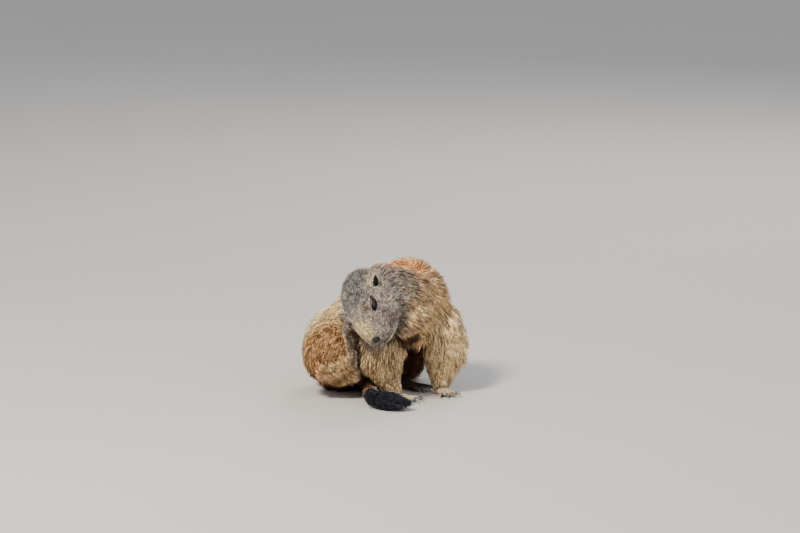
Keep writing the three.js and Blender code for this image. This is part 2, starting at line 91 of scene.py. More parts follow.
@dataclass(frozen=True)
class HeadFrame:
    """Where the head is: +X to the nose tip, +Y to the animal's left, +Z to the crown."""

    nose_tip: tuple[float, float, float] = (-12.6, -112.0, 95.6)
    face_axis: tuple[float, float, float] = (0.08, -0.77, -0.63)
    roll_deg: float = 60.0

    @property
    def axes(self) -> np.ndarray:
        """The head's axes as columns, in the pose's frame."""
        forward = unit(self.face_axis)
        left_level = unit(np.cross((0.0, 0.0, 1.0), forward))
        up_level = np.cross(forward, left_level)
        roll = math.radians(self.roll_deg)
        crown = up_level * math.cos(roll) - left_level * math.sin(roll)
        return np.column_stack((forward, np.cross(crown, forward), crown))

    def to_pose(self, points: np.ndarray) -> np.ndarray:
        """Turns points of the head into points of the pose."""
        return np.asarray(points, float) @ self.axes.T + np.array(self.nose_tip)

    def from_pose(self, points: np.ndarray) -> np.ndarray:
        """Turns points of the pose into points of the head."""
        return (np.asarray(points, float) - np.array(self.nose_tip)) @ self.axes


HEAD = HeadFrame()


def eye_place(side: int) -> np.ndarray:
    """The centre of an eye in the head's frame; side is +1 on the animal's left."""
    return np.array((-39.5, side * 23.5, 18.0))


class Pose:
    """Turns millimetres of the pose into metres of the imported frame."""

    def __init__(self) -> None:
        """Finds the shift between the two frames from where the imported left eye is."""
        low, high = (np.array(corner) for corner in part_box("eye_left"))
        self.shift = (low + high) / 2 - HEAD.to_pose(eye_place(1)) * MM

    def to_row(self, points: np.ndarray) -> np.ndarray:
        """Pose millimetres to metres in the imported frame."""
        return np.asarray(points, float) * MM + self.shift

    def from_row(self, points: np.ndarray) -> np.ndarray:
        """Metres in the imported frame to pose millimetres."""
        return (np.asarray(points, float) - self.shift) / MM


POSE = Pose()


class Region(Enum):
    """The pieces that the coat is made in."""

    FACE = "face"
    NECK = "neck"
    SHOULDERS = "shoulders"
    FLANKS = "flanks"
    RUMP = "rump"
    RIGHT_FORELEG = "foreleg_right"
    LEFT_FORELEG = "foreleg_left"
    RIGHT_THIGH = "thigh_right"
    LEFT_THIGH = "thigh_left"
    FEET = "feet"
    TAIL = "tail"


@dataclass(frozen=True)
class Hair:
    """How the hair of one form grows: millimetres, degrees and tufts for each square millimetre."""

    length: float
    width: float
    lift: float
    density: float
    clump: float = 0.35
    wild: float = 10.0


@dataclass(frozen=True)
class Form:
    """A stretch of the body as ellipses along a curve, out to the tips of its coat.

    A station is x, y, z, half width, half height in millimetres. lie is +1 where the hair lies towards
    the last station and -1 where it lies towards the first, and sag is how far it falls to the floor.
    """

    name: str
    stations: tuple[tuple[float, ...], ...]
    inset: float
    hair: Hair
    region: Region
    lie: float = 1.0
    sag: float = 0.0
    stiff: float = 0.0
    up: tuple[float, float, float] = (0.0, 0.0, 1.0)
    caps: tuple[float, float] = (0.6, 0.6)
    growth: tuple[float, ...] = ()
    spacing: float = 7.0

    def rings(self) -> "Rings":
        """The ellipses along the form, close enough together to read as one body.

        Returns:
            One ellipse for each place along the curve.
        """
        stations = np.array(self.stations, float)
        reach = float(np.linalg.norm(np.diff(stations[:, :3], axis=0), axis=1).sum())
        count = max(2, math.ceil(reach / self.spacing))
        at = np.linspace(0, len(stations) - 1, count + 1)
        places = curve_through(stations, at)
        ahead = curve_through(stations, np.minimum(at + 0.02, len(stations) - 1))
        behind = curve_through(stations, np.maximum(at - 0.02, 0))
        tangent = unit(ahead[:, :3] - behind[:, :3])
        chord = unit(stations[-1, :3] - stations[0, :3])
        along = unit(tangent * (1 - self.stiff) + chord * self.stiff)
        side = unit(np.cross(along, self.up))
        top = np.cross(side, along)
        half = np.maximum(places[:, 3:5] - self.inset, 0.6)
        small = half.min(axis=1)
        reach_along = small * 0.55
        reach_along[0] = max(small[0] * self.caps[0], 0.5)
        reach_along[-1] = max(small[-1] * self.caps[1], 0.5)
        grown = np.ones(len(at))
        if self.growth:
            grown = np.interp(at, np.arange(len(stations)), self.growth)
        radii = np.column_stack((reach_along, half))
        return Rings(places[:, :3], np.stack((along, side, top), axis=1), radii, grown)


@dataclass
class Rings:
    """Ellipsoids along a form: centres, axes (along, side, top) as rows, radii and hair growth."""

    centres: np.ndarray
    axes: np.ndarray
    radii: np.ndarray
    growth: np.ndarray


def curve_through(stations: np.ndarray, at: np.ndarray) -> np.ndarray:
    """Samples a Catmull-Rom curve through rows of numbers.

    Args:
        stations: one row for each station.
        at: where to sample, 0 at the first station and 1 at the next.

    Returns:
        One row for each sample.
    """
    last = len(stations) - 1
    start = np.clip(np.floor(at).astype(int), 0, last - 1)
    share = (at - start)[:, None]
    before = stations[np.maximum(start - 1, 0)]
    here, after = stations[start], stations[start + 1]
    beyond = stations[np.minimum(start + 2, last)]
    ends = (start == 0)[:, None], (start + 2 > last)[:, None]
    before = np.where(ends[0], 2 * here - after, before)
    beyond = np.where(ends[1], 2 * after - here, beyond)
    return 0.5 * (
        2 * here
        + (after - before) * share
        + (2 * before - 5 * here + 4 * after - beyond) * share**2
        + (3 * here - before - 3 * after + beyond) * share**3
    )


FUR_NECK = Hair(length=25, width=1.5, lift=23, density=0.62, clump=0.5)
FUR_SHOULDER = Hair(length=27, width=1.5, lift=28, density=0.5, clump=0.55)
FUR_FLANK = Hair(length=24, width=1.6, lift=22, density=0.45, clump=0.45)
FUR_RUMP = Hair(length=21, width=1.4, lift=26, density=0.5, clump=0.45)
FUR_ARM = Hair(length=27, width=1.4, lift=27, density=0.55, clump=0.6)
FUR_FOREARM = Hair(length=17, width=1.3, lift=18, density=0.75, clump=0.5)
FUR_THIGH = Hair(length=19, width=1.4, lift=24, density=0.62, clump=0.5, wild=16)
FUR_SHANK = Hair(length=15, width=1.2, lift=25, density=0.8, clump=0.45, wild=20)
FUR_FOOT = Hair(length=5.5, width=0.8, lift=15, density=1.3, clump=0.2)
FUR_HEAD = Hair(length=9.5, width=0.86, lift=20, density=1.5, clump=0.3, wild=14)
FUR_CHEEK = Hair(length=19, width=1.15, lift=26, density=0.95, clump=0.5, wild=16)
FUR_TAIL = Hair(length=17, width=1.3, lift=20, density=0.75, clump=0.4)
FUR_BRUSH = Hair(length=25, width=1.2, lift=26, density=1.5, clump=0.5, wild=18)
ARM_UP = (0.0, -1.0, 0.0)

FORMS = (
    Form(
        "thorax",
        ((6, 68, 104, 52, 57), (36, 42, 119, 53, 65), (44, 4, 126, 46, 56)),
        inset=9,
        hair=FUR_SHOULDER,
        region=Region.SHOULDERS,
        lie=-1,
        sag=0.7,
        stiff=0.75,
        caps=(0.5, 0.55),
    ),
    Form(
        "abdomen",
        ((-45, 48, 72, 58, 56), (-6, 70, 94, 65, 62), (28, 58, 110, 56, 58)),
        inset=8.5,
        hair=FUR_FLANK,
        region=Region.FLANKS,
        lie=-1,
        sag=0.5,
        stiff=0.75,
        caps=(0.4, 0.4),
    ),
    Form(
        "rump",
        ((-84, 24, 46, 42, 46), (-60, 36, 58, 60, 60), (-30, 52, 72, 58, 58)),
        inset=7.5,
        hair=FUR_RUMP,
        region=Region.RUMP,
        lie=-1,
        sag=0.6,
        stiff=0.75,
        caps=(0.5, 0.4),
    ),
    Form(
        "seat",
        ((-64, 10, 34, 36, 32), (-56, 20, 36, 38, 34)),
        inset=2,
        hair=FUR_FLANK,
        region=Region.RUMP,
        lie=-1,
    ),
    Form(
        "neck",
        ((34, -6, 124, 45, 53), (10, -31, 140, 45, 50), (-17, -45, 150, 41, 44)),
        inset=8,
        hair=FUR_NECK,
        region=Region.NECK,
        lie=-1,
        sag=0.45,
        caps=(0.4, 0.3),
        growth=(1, 0.9, 0.62),
    ),
    Form(
        "upper_arm_right",
        ((8, 4, 104, 33, 36), (-1, -24, 80, 33, 34), (-5, -42, 58, 29, 29)),
        inset=8,
        hair=FUR_ARM,
        region=Region.RIGHT_FORELEG,
        sag=0.5,
        up=ARM_UP,
    ),
    Form(
        "forearm_right",
        ((-5, -41, 56, 27, 27), (2, -53, 33, 22, 22), (12, -62, 13, 15, 15)),
        inset=5,
        hair=FUR_FOREARM,
        region=Region.RIGHT_FORELEG,
        up=ARM_UP,
        growth=(1.3, 1, 0.6),
    ),
    Form(
        "upper_arm_left",
        ((68, 29, 105, 31, 34), (79, 14, 80, 32, 33), (84, 4, 58, 30, 30)),
        inset=8,
        hair=FUR_ARM,
        region=Region.LEFT_FORELEG,
        sag=0.5,
        up=ARM_UP,
    ),
    Form(
        "forearm_left",
        ((84, 4, 56, 28, 28), (81, -6, 33, 22, 23), (78, -14, 13, 15, 16)),
        inset=5,
        hair=FUR_FOREARM,
        region=Region.LEFT_FORELEG,
        up=ARM_UP,
        growth=(1.3, 1, 0.6),
    ),
    Form(
        "thigh_right",
        ((-56, 16, 62, 42, 44), (-75, -20, 62, 41, 43), (-84, -42, 56, 33, 36)),
        inset=7,
        hair=FUR_THIGH,
        region=Region.RIGHT_THIGH,
        sag=0.4,
    ),
    Form(
        "shank_right",
        ((-80, -42, 50, 26, 28), (-60, -50, 42, 21, 23), (-43, -52, 34, 14, 15)),
        inset=4,
        hair=FUR_SHANK,
        region=Region.RIGHT_THIGH,
        growth=(1.4, 1, 0.6),
    ),
    Form(
        "thigh_left",
        ((-38, 80, 50, 40, 48), (-4, 92, 46, 40, 47), (36, 84, 38, 34, 39)),
        inset=7,
        hair=FUR_THIGH,
        region=Region.LEFT_THIGH,
        sag=0.4,
    ),
    Form(
        "shank_left",
        ((33, 79, 37, 24, 26), (22, 60, 24, 19, 19), (10, 44, 14, 13, 13)),
        inset=3.5,
        hair=FUR_SHANK,
        region=Region.LEFT_THIGH,
        growth=(1.4, 1, 0.6),
    ),
    Form(
        "tail_base",
        (
            (-44, 30, 18, 15, 16),
            (-26, -12, 14, 14, 15),
            (-21, -56, 12.5, 12.5, 13),
            (-18, -91, 12.5, 13, 12.5),
        ),
        inset=5,
        hair=FUR_TAIL,
        region=Region.TAIL,
        growth=(0.8, 0.9, 1, 1.2),
    ),
    Form(
        "tail_tip",
        ((-19, -87, 12.5, 14, 13), (-12, -111, 14, 19, 15), (6, -128, 14, 19, 15), (26, -133, 12, 13, 11)),
        inset=9.5,
        hair=FUR_BRUSH,
        region=Region.TAIL,
        caps=(0.3, 0.8),
        growth=(0.6, 0.8, 0.9, 0.8),
    ),
)


@dataclass(frozen=True)
class Ball:
    """A bulge: its centre, its radii, the hair on it and which way that lies."""

    centre: tuple[float, float, float]
    radii: tuple[float, float, float]
    hair: Hair
    growth: float
    lie: tuple[float, float, float] = (-1.0, 0.0, 0.0)


RUFFS = (
    Ball((27, -54, 123), (26, 21, 21), FUR_NECK, 1.0, (0.75, 0.25, -0.45)),
    Ball((20, -61, 127), (17, 15.5, 29), FUR_CHEEK, 1.2, (0.8, 0.2, -0.5)),
)


def head_forms() -> list[Form]:
    """The head's forms, given in its own frame and turned into the pose's.

    Returns:
        The skull and the jaw.
    """
    skull = (
        (-94, 0, 4, 34, 34),
        (-75, 0, 4.5, 39.5, 39),
        (-56, 0, 4, 38.5, 37),
        (-42, 0, 3, 35, 34),
        (-28, 0, 0.5, 29, 28.5),
        (-15, 0, -2.5, 24.5, 21.5),
        (-6, 0, -5, 18.5, 14),
    )
    jaw = ((-48, 0, -23, 23, 12), (-32, 0, -23, 21, 11.5), (-19, 0, -21, 17, 9), (-10, 0, -18.5, 12, 6.5))
    growth = (2.4, 1.8, 1.15, 0.85, 0.62, 0.46, 0.34)
    crown = tuple(HEAD.axes[:, 2])

    def turned(stations: tuple[tuple[float, ...], ...]) -> tuple[tuple[float, ...], ...]:
        """The stations with their places in the pose's frame."""
        return tuple((*HEAD.to_pose(np.array(s[:3])), *s[3:]) for s in stations)

    common = dict(hair=FUR_HEAD, region=Region.FACE, lie=-1, up=crown, spacing=5)
    return [
        Form("skull", turned(skull), inset=3.2, caps=(0.35, 0.5), growth=growth, **common),
        Form("jaw", turned(jaw), inset=2.0, caps=(0.4, 0.7), growth=(1, 0.8, 0.5, 0.35), **common),
    ]


def head_balls() -> list[Ball]:
    """Cheeks, whisker pads, brows and the nose pad.

    Returns:
        The bulges, left and right.
    """
    balls = [Ball((-2.6, 0, -0.8), (4.1, 5.7, 4.4), FUR_HEAD, 0.3)]
    for side in (1, -1):
        back, front = (-0.6, side * 0.2, -0.7), (-0.7, side * 0.2, -0.55)
        balls.append(Ball((-68, side * 21, -9), (22, 14.5, 16), FUR_CHEEK, 1.35, back))
        balls.append(Ball((-50, side * 19, -10), (20, 14.5, 16.5), FUR_CHEEK, 0.85, front))
        balls.append(Ball((-11.5, side * 10.6, -7.5), (10, 10.4, 9.4), FUR_HEAD, 0.4))
        balls.append(Ball((-44, side * 19.5, 23), (13, 9.5, 8.5), FUR_HEAD, 0.7))
    return balls


@dataclass(frozen=True)
class Foot:
    """A foot: its sole, its toes and how it is turned."""

    name: str
    heel: tuple[float, float, float]
    to_toes: tuple[float, float, float]
    back: tuple[float, float, float]
    sole: tuple[float, float, float]
    toe: tuple[float, float]
    toes: int
    claw_length: float = 11.0
    claw_radius: float = 1.8

    @property
    def axes(self) -> np.ndarray:
        """The foot's axes as columns: to the toes, across, and its back."""
        forward = unit(self.to_toes)
        across = unit(np.cross(self.back, forward))
        return np.column_stack((forward, across, np.cross(forward, across)))

    def to_pose(self, points: np.ndarray) -> np.ndarray:
        """Turns points of the foot into points of the pose."""
        return np.asarray(points, float) @ self.axes.T + np.array(self.heel)

    def from_pose(self, points: np.ndarray) -> np.ndarray:
        """Turns points of the pose into points of the foot."""
        return (np.asarray(points, float) - np.array(self.heel)) @ self.axes

    def toe_line(self, index: int) -> tuple[np.ndarray, np.ndarray, float]:
        """Where a toe starts, which way it heads and how long it is, in the foot's frame.

        Args:
            index: the toe's number, from 0.

        Returns:
            Its root, its heading and its length.
        """
        spread = index / (self.toes - 1) * 2 - 1
        heading = spread * 0.28
        reach = self.toe[0] * (1 - 0.28 * spread * spread)
        root = np.array((self.sole[0] * 0.84, spread * self.sole[1] * 0.37, self.toe[1]))
        return root, np.array((math.cos(heading), math.sin(heading), 0.0)), reach

    def forms(self) -> list[Form]:
        """The palm or sole and its toes as forms.

        Returns:
            One form for the sole and one for each toe.
        """
        length, width, thick = self.sole
        palm = (
            (2, 0, thick * 0.55, width * 0.32, thick * 0.55),
            (length * 0.5, 0, thick * 0.45, width * 0.42, thick * 0.48),
            (length * 0.92, 0, thick * 0.36, width * 0.46, thick * 0.38),
        )
        lines = [palm]
        for index in range(self.toes):
            root, way, reach = self.toe_line(index)
            radius = self.toe[1]
            rises = ((0, 0.6, 1.0), (0.35, 1.6, 0.9), (0.62, 1.2, 1.02), (1, 0.1, 0.9))
            toe = []
            for share, rise, fat in rises:
                place = root + way * reach * share + np.array((0, 0, rise))
                toe.append((*place, radius * fat, radius * fat))
            lines.append(tuple(toe))
        up = tuple(self.axes[:, 2])
        return [
            Form(
                f"{self.name}_{index}",
                tuple((*self.to_pose(np.array(s[:3])), *s[3:]) for s in line),
                inset=0.5,
                hair=FUR_FOOT,
                region=Region.FEET,
                up=up,
                caps=(0.8, 0.9),
                growth=(1.3, 0.9, 0.6) if index == 0 else (0.8, 0.7, 0.5, 0.35),
                spacing=3.0,
            )
            for index, line in enumerate(lines)
        ]


FORE_SOLE, FORE_TOE = (27.0, 25.0, 12.0), (15.0, 3.7)
HIND_SOLE, HIND_TOE = (66.0, 27.0, 13.0), (17.0, 3.8)
LEVEL = (0.0, 0.0, 1.0)
FEET = (
    Foot("forepaw_right", (9, -60, 0), (0.86, -0.5, 0), LEVEL, FORE_SOLE, FORE_TOE, 4),
    Foot("forepaw_left", (77, -10, 0), (0.35, -0.94, 0), LEVEL, FORE_SOLE, FORE_TOE, 4),
    Foot("hind_foot_right", (-36, -54, 30), (-13, -1, 82), (-0.87, 0.46, -0.15), HIND_SOLE, HIND_TOE, 5),
    Foot("hind_foot_left", (4, 48, 0), (0.72, -0.69, 0), LEVEL, HIND_SOLE, HIND_TOE, 5),
)
RAISED_FOOT = FEET[2]


@dataclass(frozen=True)
class Ear:
    """An ear in the head's frame: its place, turn, shell and hollow."""

    side: int
    shell: tuple[float, float, float] = (10.0, 4.6, 12.0)
    cup: tuple[float, float, float] = (8.3, 5.8, 9.8)
    rise: float = 6.4
    turn: tuple[float, float, float] = (-0.85, 0.1, -0.3)

    @property
    def axes(self) -> np.ndarray:
        """The ear's axes as columns in the head's frame: front, left, tip."""
        angles = (self.turn[0] * self.side, self.turn[1], self.turn[2] * self.side)
        about_x, about_y, about_z = (Matrix.Rotation(by, 3, axis) for by, axis in zip(angles, "XYZ"))
        return np.array(about_x @ about_y @ about_z)

    @property
    def root(self) -> np.ndarray:
        """Where the ear stands on the head."""
        return np.array((-74.0, self.side * 33.0, 17.0))

    def to_pose(self, points: np.ndarray) -> np.ndarray:
        """Turns points of the ear into points of the pose."""
        return HEAD.to_pose(np.asarray(points, float) @ self.axes.T + self.root)

    def from_pose(self, points: np.ndarray) -> np.ndarray:
        """Turns points of the pose into points of the ear."""
        return (HEAD.from_pose(points) - self.root) @ self.axes


@dataclass(frozen=True)
class Eye:
    """An eye and its lids: the ball, the almond opening and the way it looks."""

    side: int
    ball: float = 6.9
    lid: float = 1.0
    opening: tuple[float, float] = (6.6, 3.1)

    @property
    def axes(self) -> np.ndarray:
        """The eye's axes as columns in the head's frame: along the opening, across it, and outwards."""
        out = unit((0.28, self.side, 0.22))
        along = np.array((0.9, self.side * -0.22, -0.36))
        along = unit(along - out * float(along @ out))
        return np.column_stack((along, np.cross(out, along), out))

    def from_pose(self, points: np.ndarray) -> np.ndarray:
        """Turns points of the pose into points about the eye's centre."""
        return (HEAD.from_pose(points) - eye_place(self.side)) @ self.axes

    def to_pose(self, points: np.ndarray) -> np.ndarray:
        """Turns points about the eye's centre into points of the pose."""
        return HEAD.to_pose(np.asarray(points, float) @ self.axes.T + eye_place(self.side))

    def ring(self, local: np.ndarray) -> np.ndarray:
        """How far out a point is: 1 on the opening's edge, 0 at its middle."""
        pinch = 1.0 + 0.12 * (local[:, 0] / self.opening[0]) ** 2
        return np.hypot(local[:, 0] / self.opening[0], local[:, 1] * pinch / self.opening[1])


EARS = (Ear(1), Ear(-1))
EYES = (Eye(1), Eye(-1))
FUR_EAR = Hair(length=4.6, width=0.6, lift=14, density=1.9, clump=0.15)


@dataclass
class Lobes:
    """Every ellipsoid that the skin is made of, with how the hair grows on it."""

    centres: list[np.ndarray] = field(default_factory=list)
    axes: list[np.ndarray] = field(default_factory=list)
    radii: list[np.ndarray] = field(default_factory=list)
    flow: list[np.ndarray] = field(default_factory=list)
    hair: list[tuple[float, ...]] = field(default_factory=list)
    region: list[Region] = field(default_factory=list)
    fine: list[bool] = field(default_factory=list)

    def add(
        self,
        centre: np.ndarray,
        axes: np.ndarray,
        radii: np.ndarray,
        flow: np.ndarray,
        hair: Hair,
        region: Region,
        growth: float = 1.0,
        sag: float = 0.0,
        fine: bool = False,
    ) -> None:
        """Adds one ellipsoid; axes are rows, and growth scales the length of its hair.

        Args:
            centre: its centre in pose millimetres.
            axes: its axes as rows.
            radii: millimetres along those axes.
            flow: which way its hair lies.
            hair: how its hair grows.
            region: the piece of coat it belongs to.
            growth: what the hair's length is scaled by.
            sag: how far the hair falls to the floor.
            fine: whether it is small, so that coarser balls do.
        """
        self.centres.append(np.asarray(centre, float))
        self.axes.append(np.asarray(axes, float))
        self.radii.append(np.asarray(radii, float))
        self.flow.append(unit(np.asarray(flow, float) + np.array((0, 0, -sag))))
        spread = 1.0 / max(growth, 0.35) ** 0.7
        self.hair.append(
            (
                hair.length * growth,
                hair.width * (0.5 + 0.5 * min(growth, 1.3)),
                hair.lift,
                hair.density * spread,
                hair.clump,
                hair.wild,
            )
        )
        self.region.append(region)
        self.fine.append(fine)

    def add_form(self, form: Form, fine: bool = False) -> None:
        """Adds a form's ellipses.

        Args:
            form: the stretch of the body.
            fine: whether it is small, so that coarser balls do.
        """
        rings = form.rings()
        for centre, axes, radii, growth in zip(rings.centres, rings.axes, rings.radii, rings.growth):
            flow = axes[0] * form.lie
            self.add(centre, axes, radii, flow, form.hair, form.region, float(growth), form.sag, fine)

    @classmethod
    def of_marmot(cls) -> "Lobes":
        """The whole animal.

        Returns:
            Every ellipsoid of the body.
        """
        lobes = cls()
        for form in FORMS:
            lobes.add_form(form)
        for form in head_forms():
            lobes.add_form(form)
        for ball in head_balls():
            centre, lie = HEAD.to_pose(ball.centre), HEAD.axes @ ball.lie
            lobes.add(centre, HEAD.axes.T, ball.radii, lie, ball.hair, Region.FACE, ball.growth)
        for ball in RUFFS:
            lobes.add(ball.centre, np.eye(3), ball.radii, ball.lie, ball.hair, Region.NECK, ball.growth)
        for ear in EARS:
            axes = (HEAD.axes @ ear.axes).T
            lobes.add(ear.to_pose((0, 0, 5.6)), axes, ear.shell, axes[2], FUR_EAR, Region.FACE, fine=True)
        for foot in FEET:
            for form in foot.forms():
                lobes.add_form(form, fine=True)
        return lobes

    def hair_at(self, points: np.ndarray) -> tuple[np.ndarray, np.ndarray, np.ndarray]:
        """How the hair grows at points near the skin.

        Args:
            points: pose millimetres.

        Returns:
            Which way the hair lies, its length, width, lift, density, clump and wildness, and its region.
        """
        centres, axes = np.array(self.centres), np.array(self.axes)
        radii, ways, values = np.array(self.radii), np.array(self.flow), np.array(self.hair)
        places = list(Region)
        number = np.array([places.index(place) for place in self.region])
        flow, hair = np.zeros((len(points), 3)), np.zeros((len(points), 6))
        region = np.zeros(len(points), int)
        cell, blend = 16.0, 2.6
        keys, which = np.unique(np.floor(points / cell).astype(int), axis=0, return_inverse=True)
        order = np.argsort(which.ravel(), kind="stable")
        for key, index in zip(keys, np.split(order, np.cumsum(np.bincount(which.ravel()))[:-1])):
            away = np.linalg.norm(centres - (key + 0.5) * cell, axis=1) - radii.max(axis=1)
            near = np.flatnonzero(away < max(cell + 14, away.min() + cell))
            offset = points[index, None, :] - centres[None, near]
            scaled = np.einsum("pki,kji->pkj", offset, axes[near]) / radii[near]
            reach = np.linalg.norm(scaled, axis=2)
            gap = np.linalg.norm(offset, axis=2) * (1 - 1 / np.maximum(reach, 1e-3))
            weight = np.exp(-np.clip(gap, 0, 60) / blend)
            flow[index] = weight @ ways[near]
            hair[index] = weight @ values[near] / np.maximum(weight.sum(axis=1), 1e-30)[:, None]
            region[index] = number[near[weight.argmax(axis=1)]]
        for ear in EARS:
            away = np.linalg.norm(ear.from_pose(points), axis=1)
            hair[:, 0] *= 0.42 + 0.58 * smoothstep(away, 13, 27)
        return unit(flow), hair, region


LOBES = Lobes.of_marmot()


def object_from(bm: bmesh.types.BMesh, name: str) -> bpy.types.Object:
    """Turns a bmesh into an object in the scene, and frees the bmesh.

    Args:
        bm: the mesh in metres, which is freed.
        name: the object's name.

    Returns:
        The object, linked to the scene.
    """
    mesh = bpy.data.meshes.new(name)
    bm.to_mesh(mesh)
    bm.free()
    piece = bpy.data.objects.new(name, mesh)
    bpy.context.scene.collection.objects.link(piece)
    return piece


def vertex_table(mesh: bpy.types.Mesh, name: str = "co", width: int = 3) -> np.ndarray:
    """Reads the vertices' places or normals as a table."""
    table = np.empty(len(mesh.vertices) * width)
    mesh.vertices.foreach_get(name, table)
    return table.reshape(-1, width)


def soften(bm: bmesh.types.BMesh, verts: list[bmesh.types.BMVert], times: int) -> None:
    """Draws vertices halfway to the middle of their neighbours, as often as asked."""
    for _step in range(times):
        bmesh.ops.smooth_vert(bm, verts=verts, factor=0.5, use_axis_x=True, use_axis_y=True, use_axis_z=True)


@dataclass
class Skin:
    """The one skin over the whole animal, with its lids, nostrils, lips and ear cups."""

    voxel: float = 2.35
    body_smoothing: int = 12
    fine_smoothing: int = 3

    def build(self) -> bpy.types.Object:
        """Makes the skin from the lobes, works the head into it and unwraps it.

        Returns:
            The skin as one object.
        """
        piece = self._cast()
        bm = bmesh.new()
        bm.from_mesh(piece.data)
        self._smooth(bm)
        self._refine(bm)
        self._work(bm)
        bmesh.ops.triangulate(bm, faces=bm.faces[:])
        bmesh.ops.recalc_face_normals(bm, faces=bm.faces[:])
        bm.to_mesh(piece.data)
        bm.free()
        piece.data.shade_smooth()
        self._unwrap(piece)
        log.info("skin: %d faces", len(piece.data.polygons))
        return piece

    def _cast(self) -> bpy.types.Object:
        """Joins all the ellipsoids into one closed surface.

        Returns:
            The surface as an object.
        """
        bm = bmesh.new()
        for centre, axes, radii, fine in zip(LOBES.centres, LOBES.axes, LOBES.radii, LOBES.fine):
            turn = np.eye(4)
            turn[:3, :3] = axes.T @ np.diag(radii) * MM
            turn[:3, 3] = POSE.to_row(centre)
            bmesh.ops.create_icosphere(bm, subdivisions=2 if fine else 3, radius=1.0, matrix=Matrix(turn))
        rough = object_from(bm, "skin_rough")
        remesh = rough.modifiers.new("one_surface", "REMESH")
        remesh.mode = "VOXEL"
        remesh.voxel_size = self.voxel * MM
        remesh.adaptivity = 0.0
        depsgraph = bpy.context.evaluated_depsgraph_get()
        mesh = bpy.data.meshes.new_from_object(rough.evaluated_get(depsgraph))
        bpy.data.objects.remove(rough)
        mesh.name = "skin"
        piece = bpy.data.objects.new("skin", mesh)
        bpy.context.scene.collection.objects.link(piece)
        return piece

    def _smooth(self, bm: bmesh.types.BMesh) -> None:
        """Softens where forms meet, more on the body than on the head, feet and ears.

        Args:
            bm: the mesh that is worked on, in metres.
        """
        places = POSE.from_row([v.co for v in bm.verts])
        _flow, hair, _region = LOBES.hair_at(places)
        long_hair = hair[:, 0] > 12
        body = [v for v, far in zip(bm.verts, long_hair) if far]
        soften(bm, body, self.body_smoothing)
        soften(bm, bm.verts[:], self.fine_smoothing)

    def _refine(self, bm: bmesh.types.BMesh) -> None:
        """Divides the face, and again about the eyes, nose and lips, where small forms are worked in."""
        self._divide(bm, lambda places: self._face(places) > 0)
        self._divide(bm, self._small_forms)
        self._divide(bm, self._lid_edges)

    @staticmethod
    def _divide(bm: bmesh.types.BMesh, chosen: Callable[[np.ndarray], np.ndarray]) -> None:
        """Divides the edges whose ends are both chosen, then smooths what is new.

        Args:
            bm: the mesh that is worked on, in metres.
            chosen: says for each point whether it is in the region to divide.
        """
        places = POSE.from_row([v.co for v in bm.verts])
        mask = np.asarray(chosen(places), bool)
        picked = {v for v, take in zip(bm.verts, mask) if take}
        edges = [e for e in bm.edges if e.verts[0] in picked and e.verts[1] in picked]
        bmesh.ops.subdivide_edges(bm, edges=edges, cuts=1, use_grid_fill=True)
        places = POSE.from_row([v.co for v in bm.verts])
        mask = np.asarray(chosen(places), bool)
        soften(bm, [v for v, take in zip(bm.verts, mask) if take], 2)

    @staticmethod
    def _face(places: np.ndarray) -> np.ndarray:
        """Above zero on the head and ears.

        Args:
            places: pose millimetres, one point in each row.

        Returns:
            One number for each point.
        """
        head = HEAD.from_pose(places)
        return 1.0 - np.maximum.reduce((
            -head[:, 0] / 92,
            np.abs(head[:, 1]) / 52,
            np.abs(head[:, 2]) / 46,
        ))

    @staticmethod
    def _small_forms(places: np.ndarray) -> np.ndarray:
        """True about the eyes, the nose, the lips and the ears' cups.

        Args:
            places: pose millimetres, one point in each row.

        Returns:
            True or false for each point.
        """
        head = HEAD.from_pose(places)
        near = (head[:, 0] > -8) & (np.abs(head[:, 1]) < 14) & (np.abs(head[:, 2]) < 22)
        near |= (head[:, 0] > -34) & (np.abs(head[:, 2] - mouth_line(head)) < 5) & (np.abs(head[:, 1]) < 24)
        for eye in EYES:
            near |= np.linalg.norm(eye.from_pose(places), axis=1) < 15
        for ear in EARS:
            near |= np.linalg.norm(ear.from_pose(places) - (0, 0, ear.rise), axis=1) < 14
        local = RAISED_FOOT.from_pose(places)
        length, width, _thick = RAISED_FOOT.sole
        on_sole = (local[:, 0] > length * 0.25) & (local[:, 0] < length + 22)
        on_sole &= (np.abs(local[:, 1]) < width * 0.7) & (local[:, 2] > -5) & (local[:, 2] < 3)
        return near | on_sole

    @staticmethod
    def _lid_edges(places: np.ndarray) -> np.ndarray:
        """True near the edges of the lids, and on the nose pad.

        Args:
            places: pose millimetres, one point in each row.

        Returns:
            True or false for each point.
        """
        head = HEAD.from_pose(places)
        near = (head[:, 0] > -5) & (np.abs(head[:, 1]) < 9) & (np.abs(head[:, 2] + 3) < 11)
        for eye in EYES:
            local = eye.from_pose(places)
            near |= (eye.ring(local) < 1.5) & (local[:, 2] > 0) & (np.linalg.norm(local, axis=1) < 11)
        return near

    def _work(self, bm: bmesh.types.BMesh) -> None:
        """Moves the vertices into lids, nostrils, lips, ear cups and soles, and clears the floor.

        Args:
            bm: the mesh that is worked on, in metres.
        """
        bm.normal_update()
        places = POSE.from_row([v.co for v in bm.verts])
        for eye in EYES:
            places = self._lids(places, eye)
        places = self._nose(places)
        places = self._lips(places)
        places = self._pads(places, RAISED_FOOT)
        for ear in EARS:
            places = self._cup(places, ear)
        places[:, 2] = np.maximum(places[:, 2], 0.7)
        for vertex, place in zip(bm.verts, POSE.to_row(places)):
            vertex.co = place

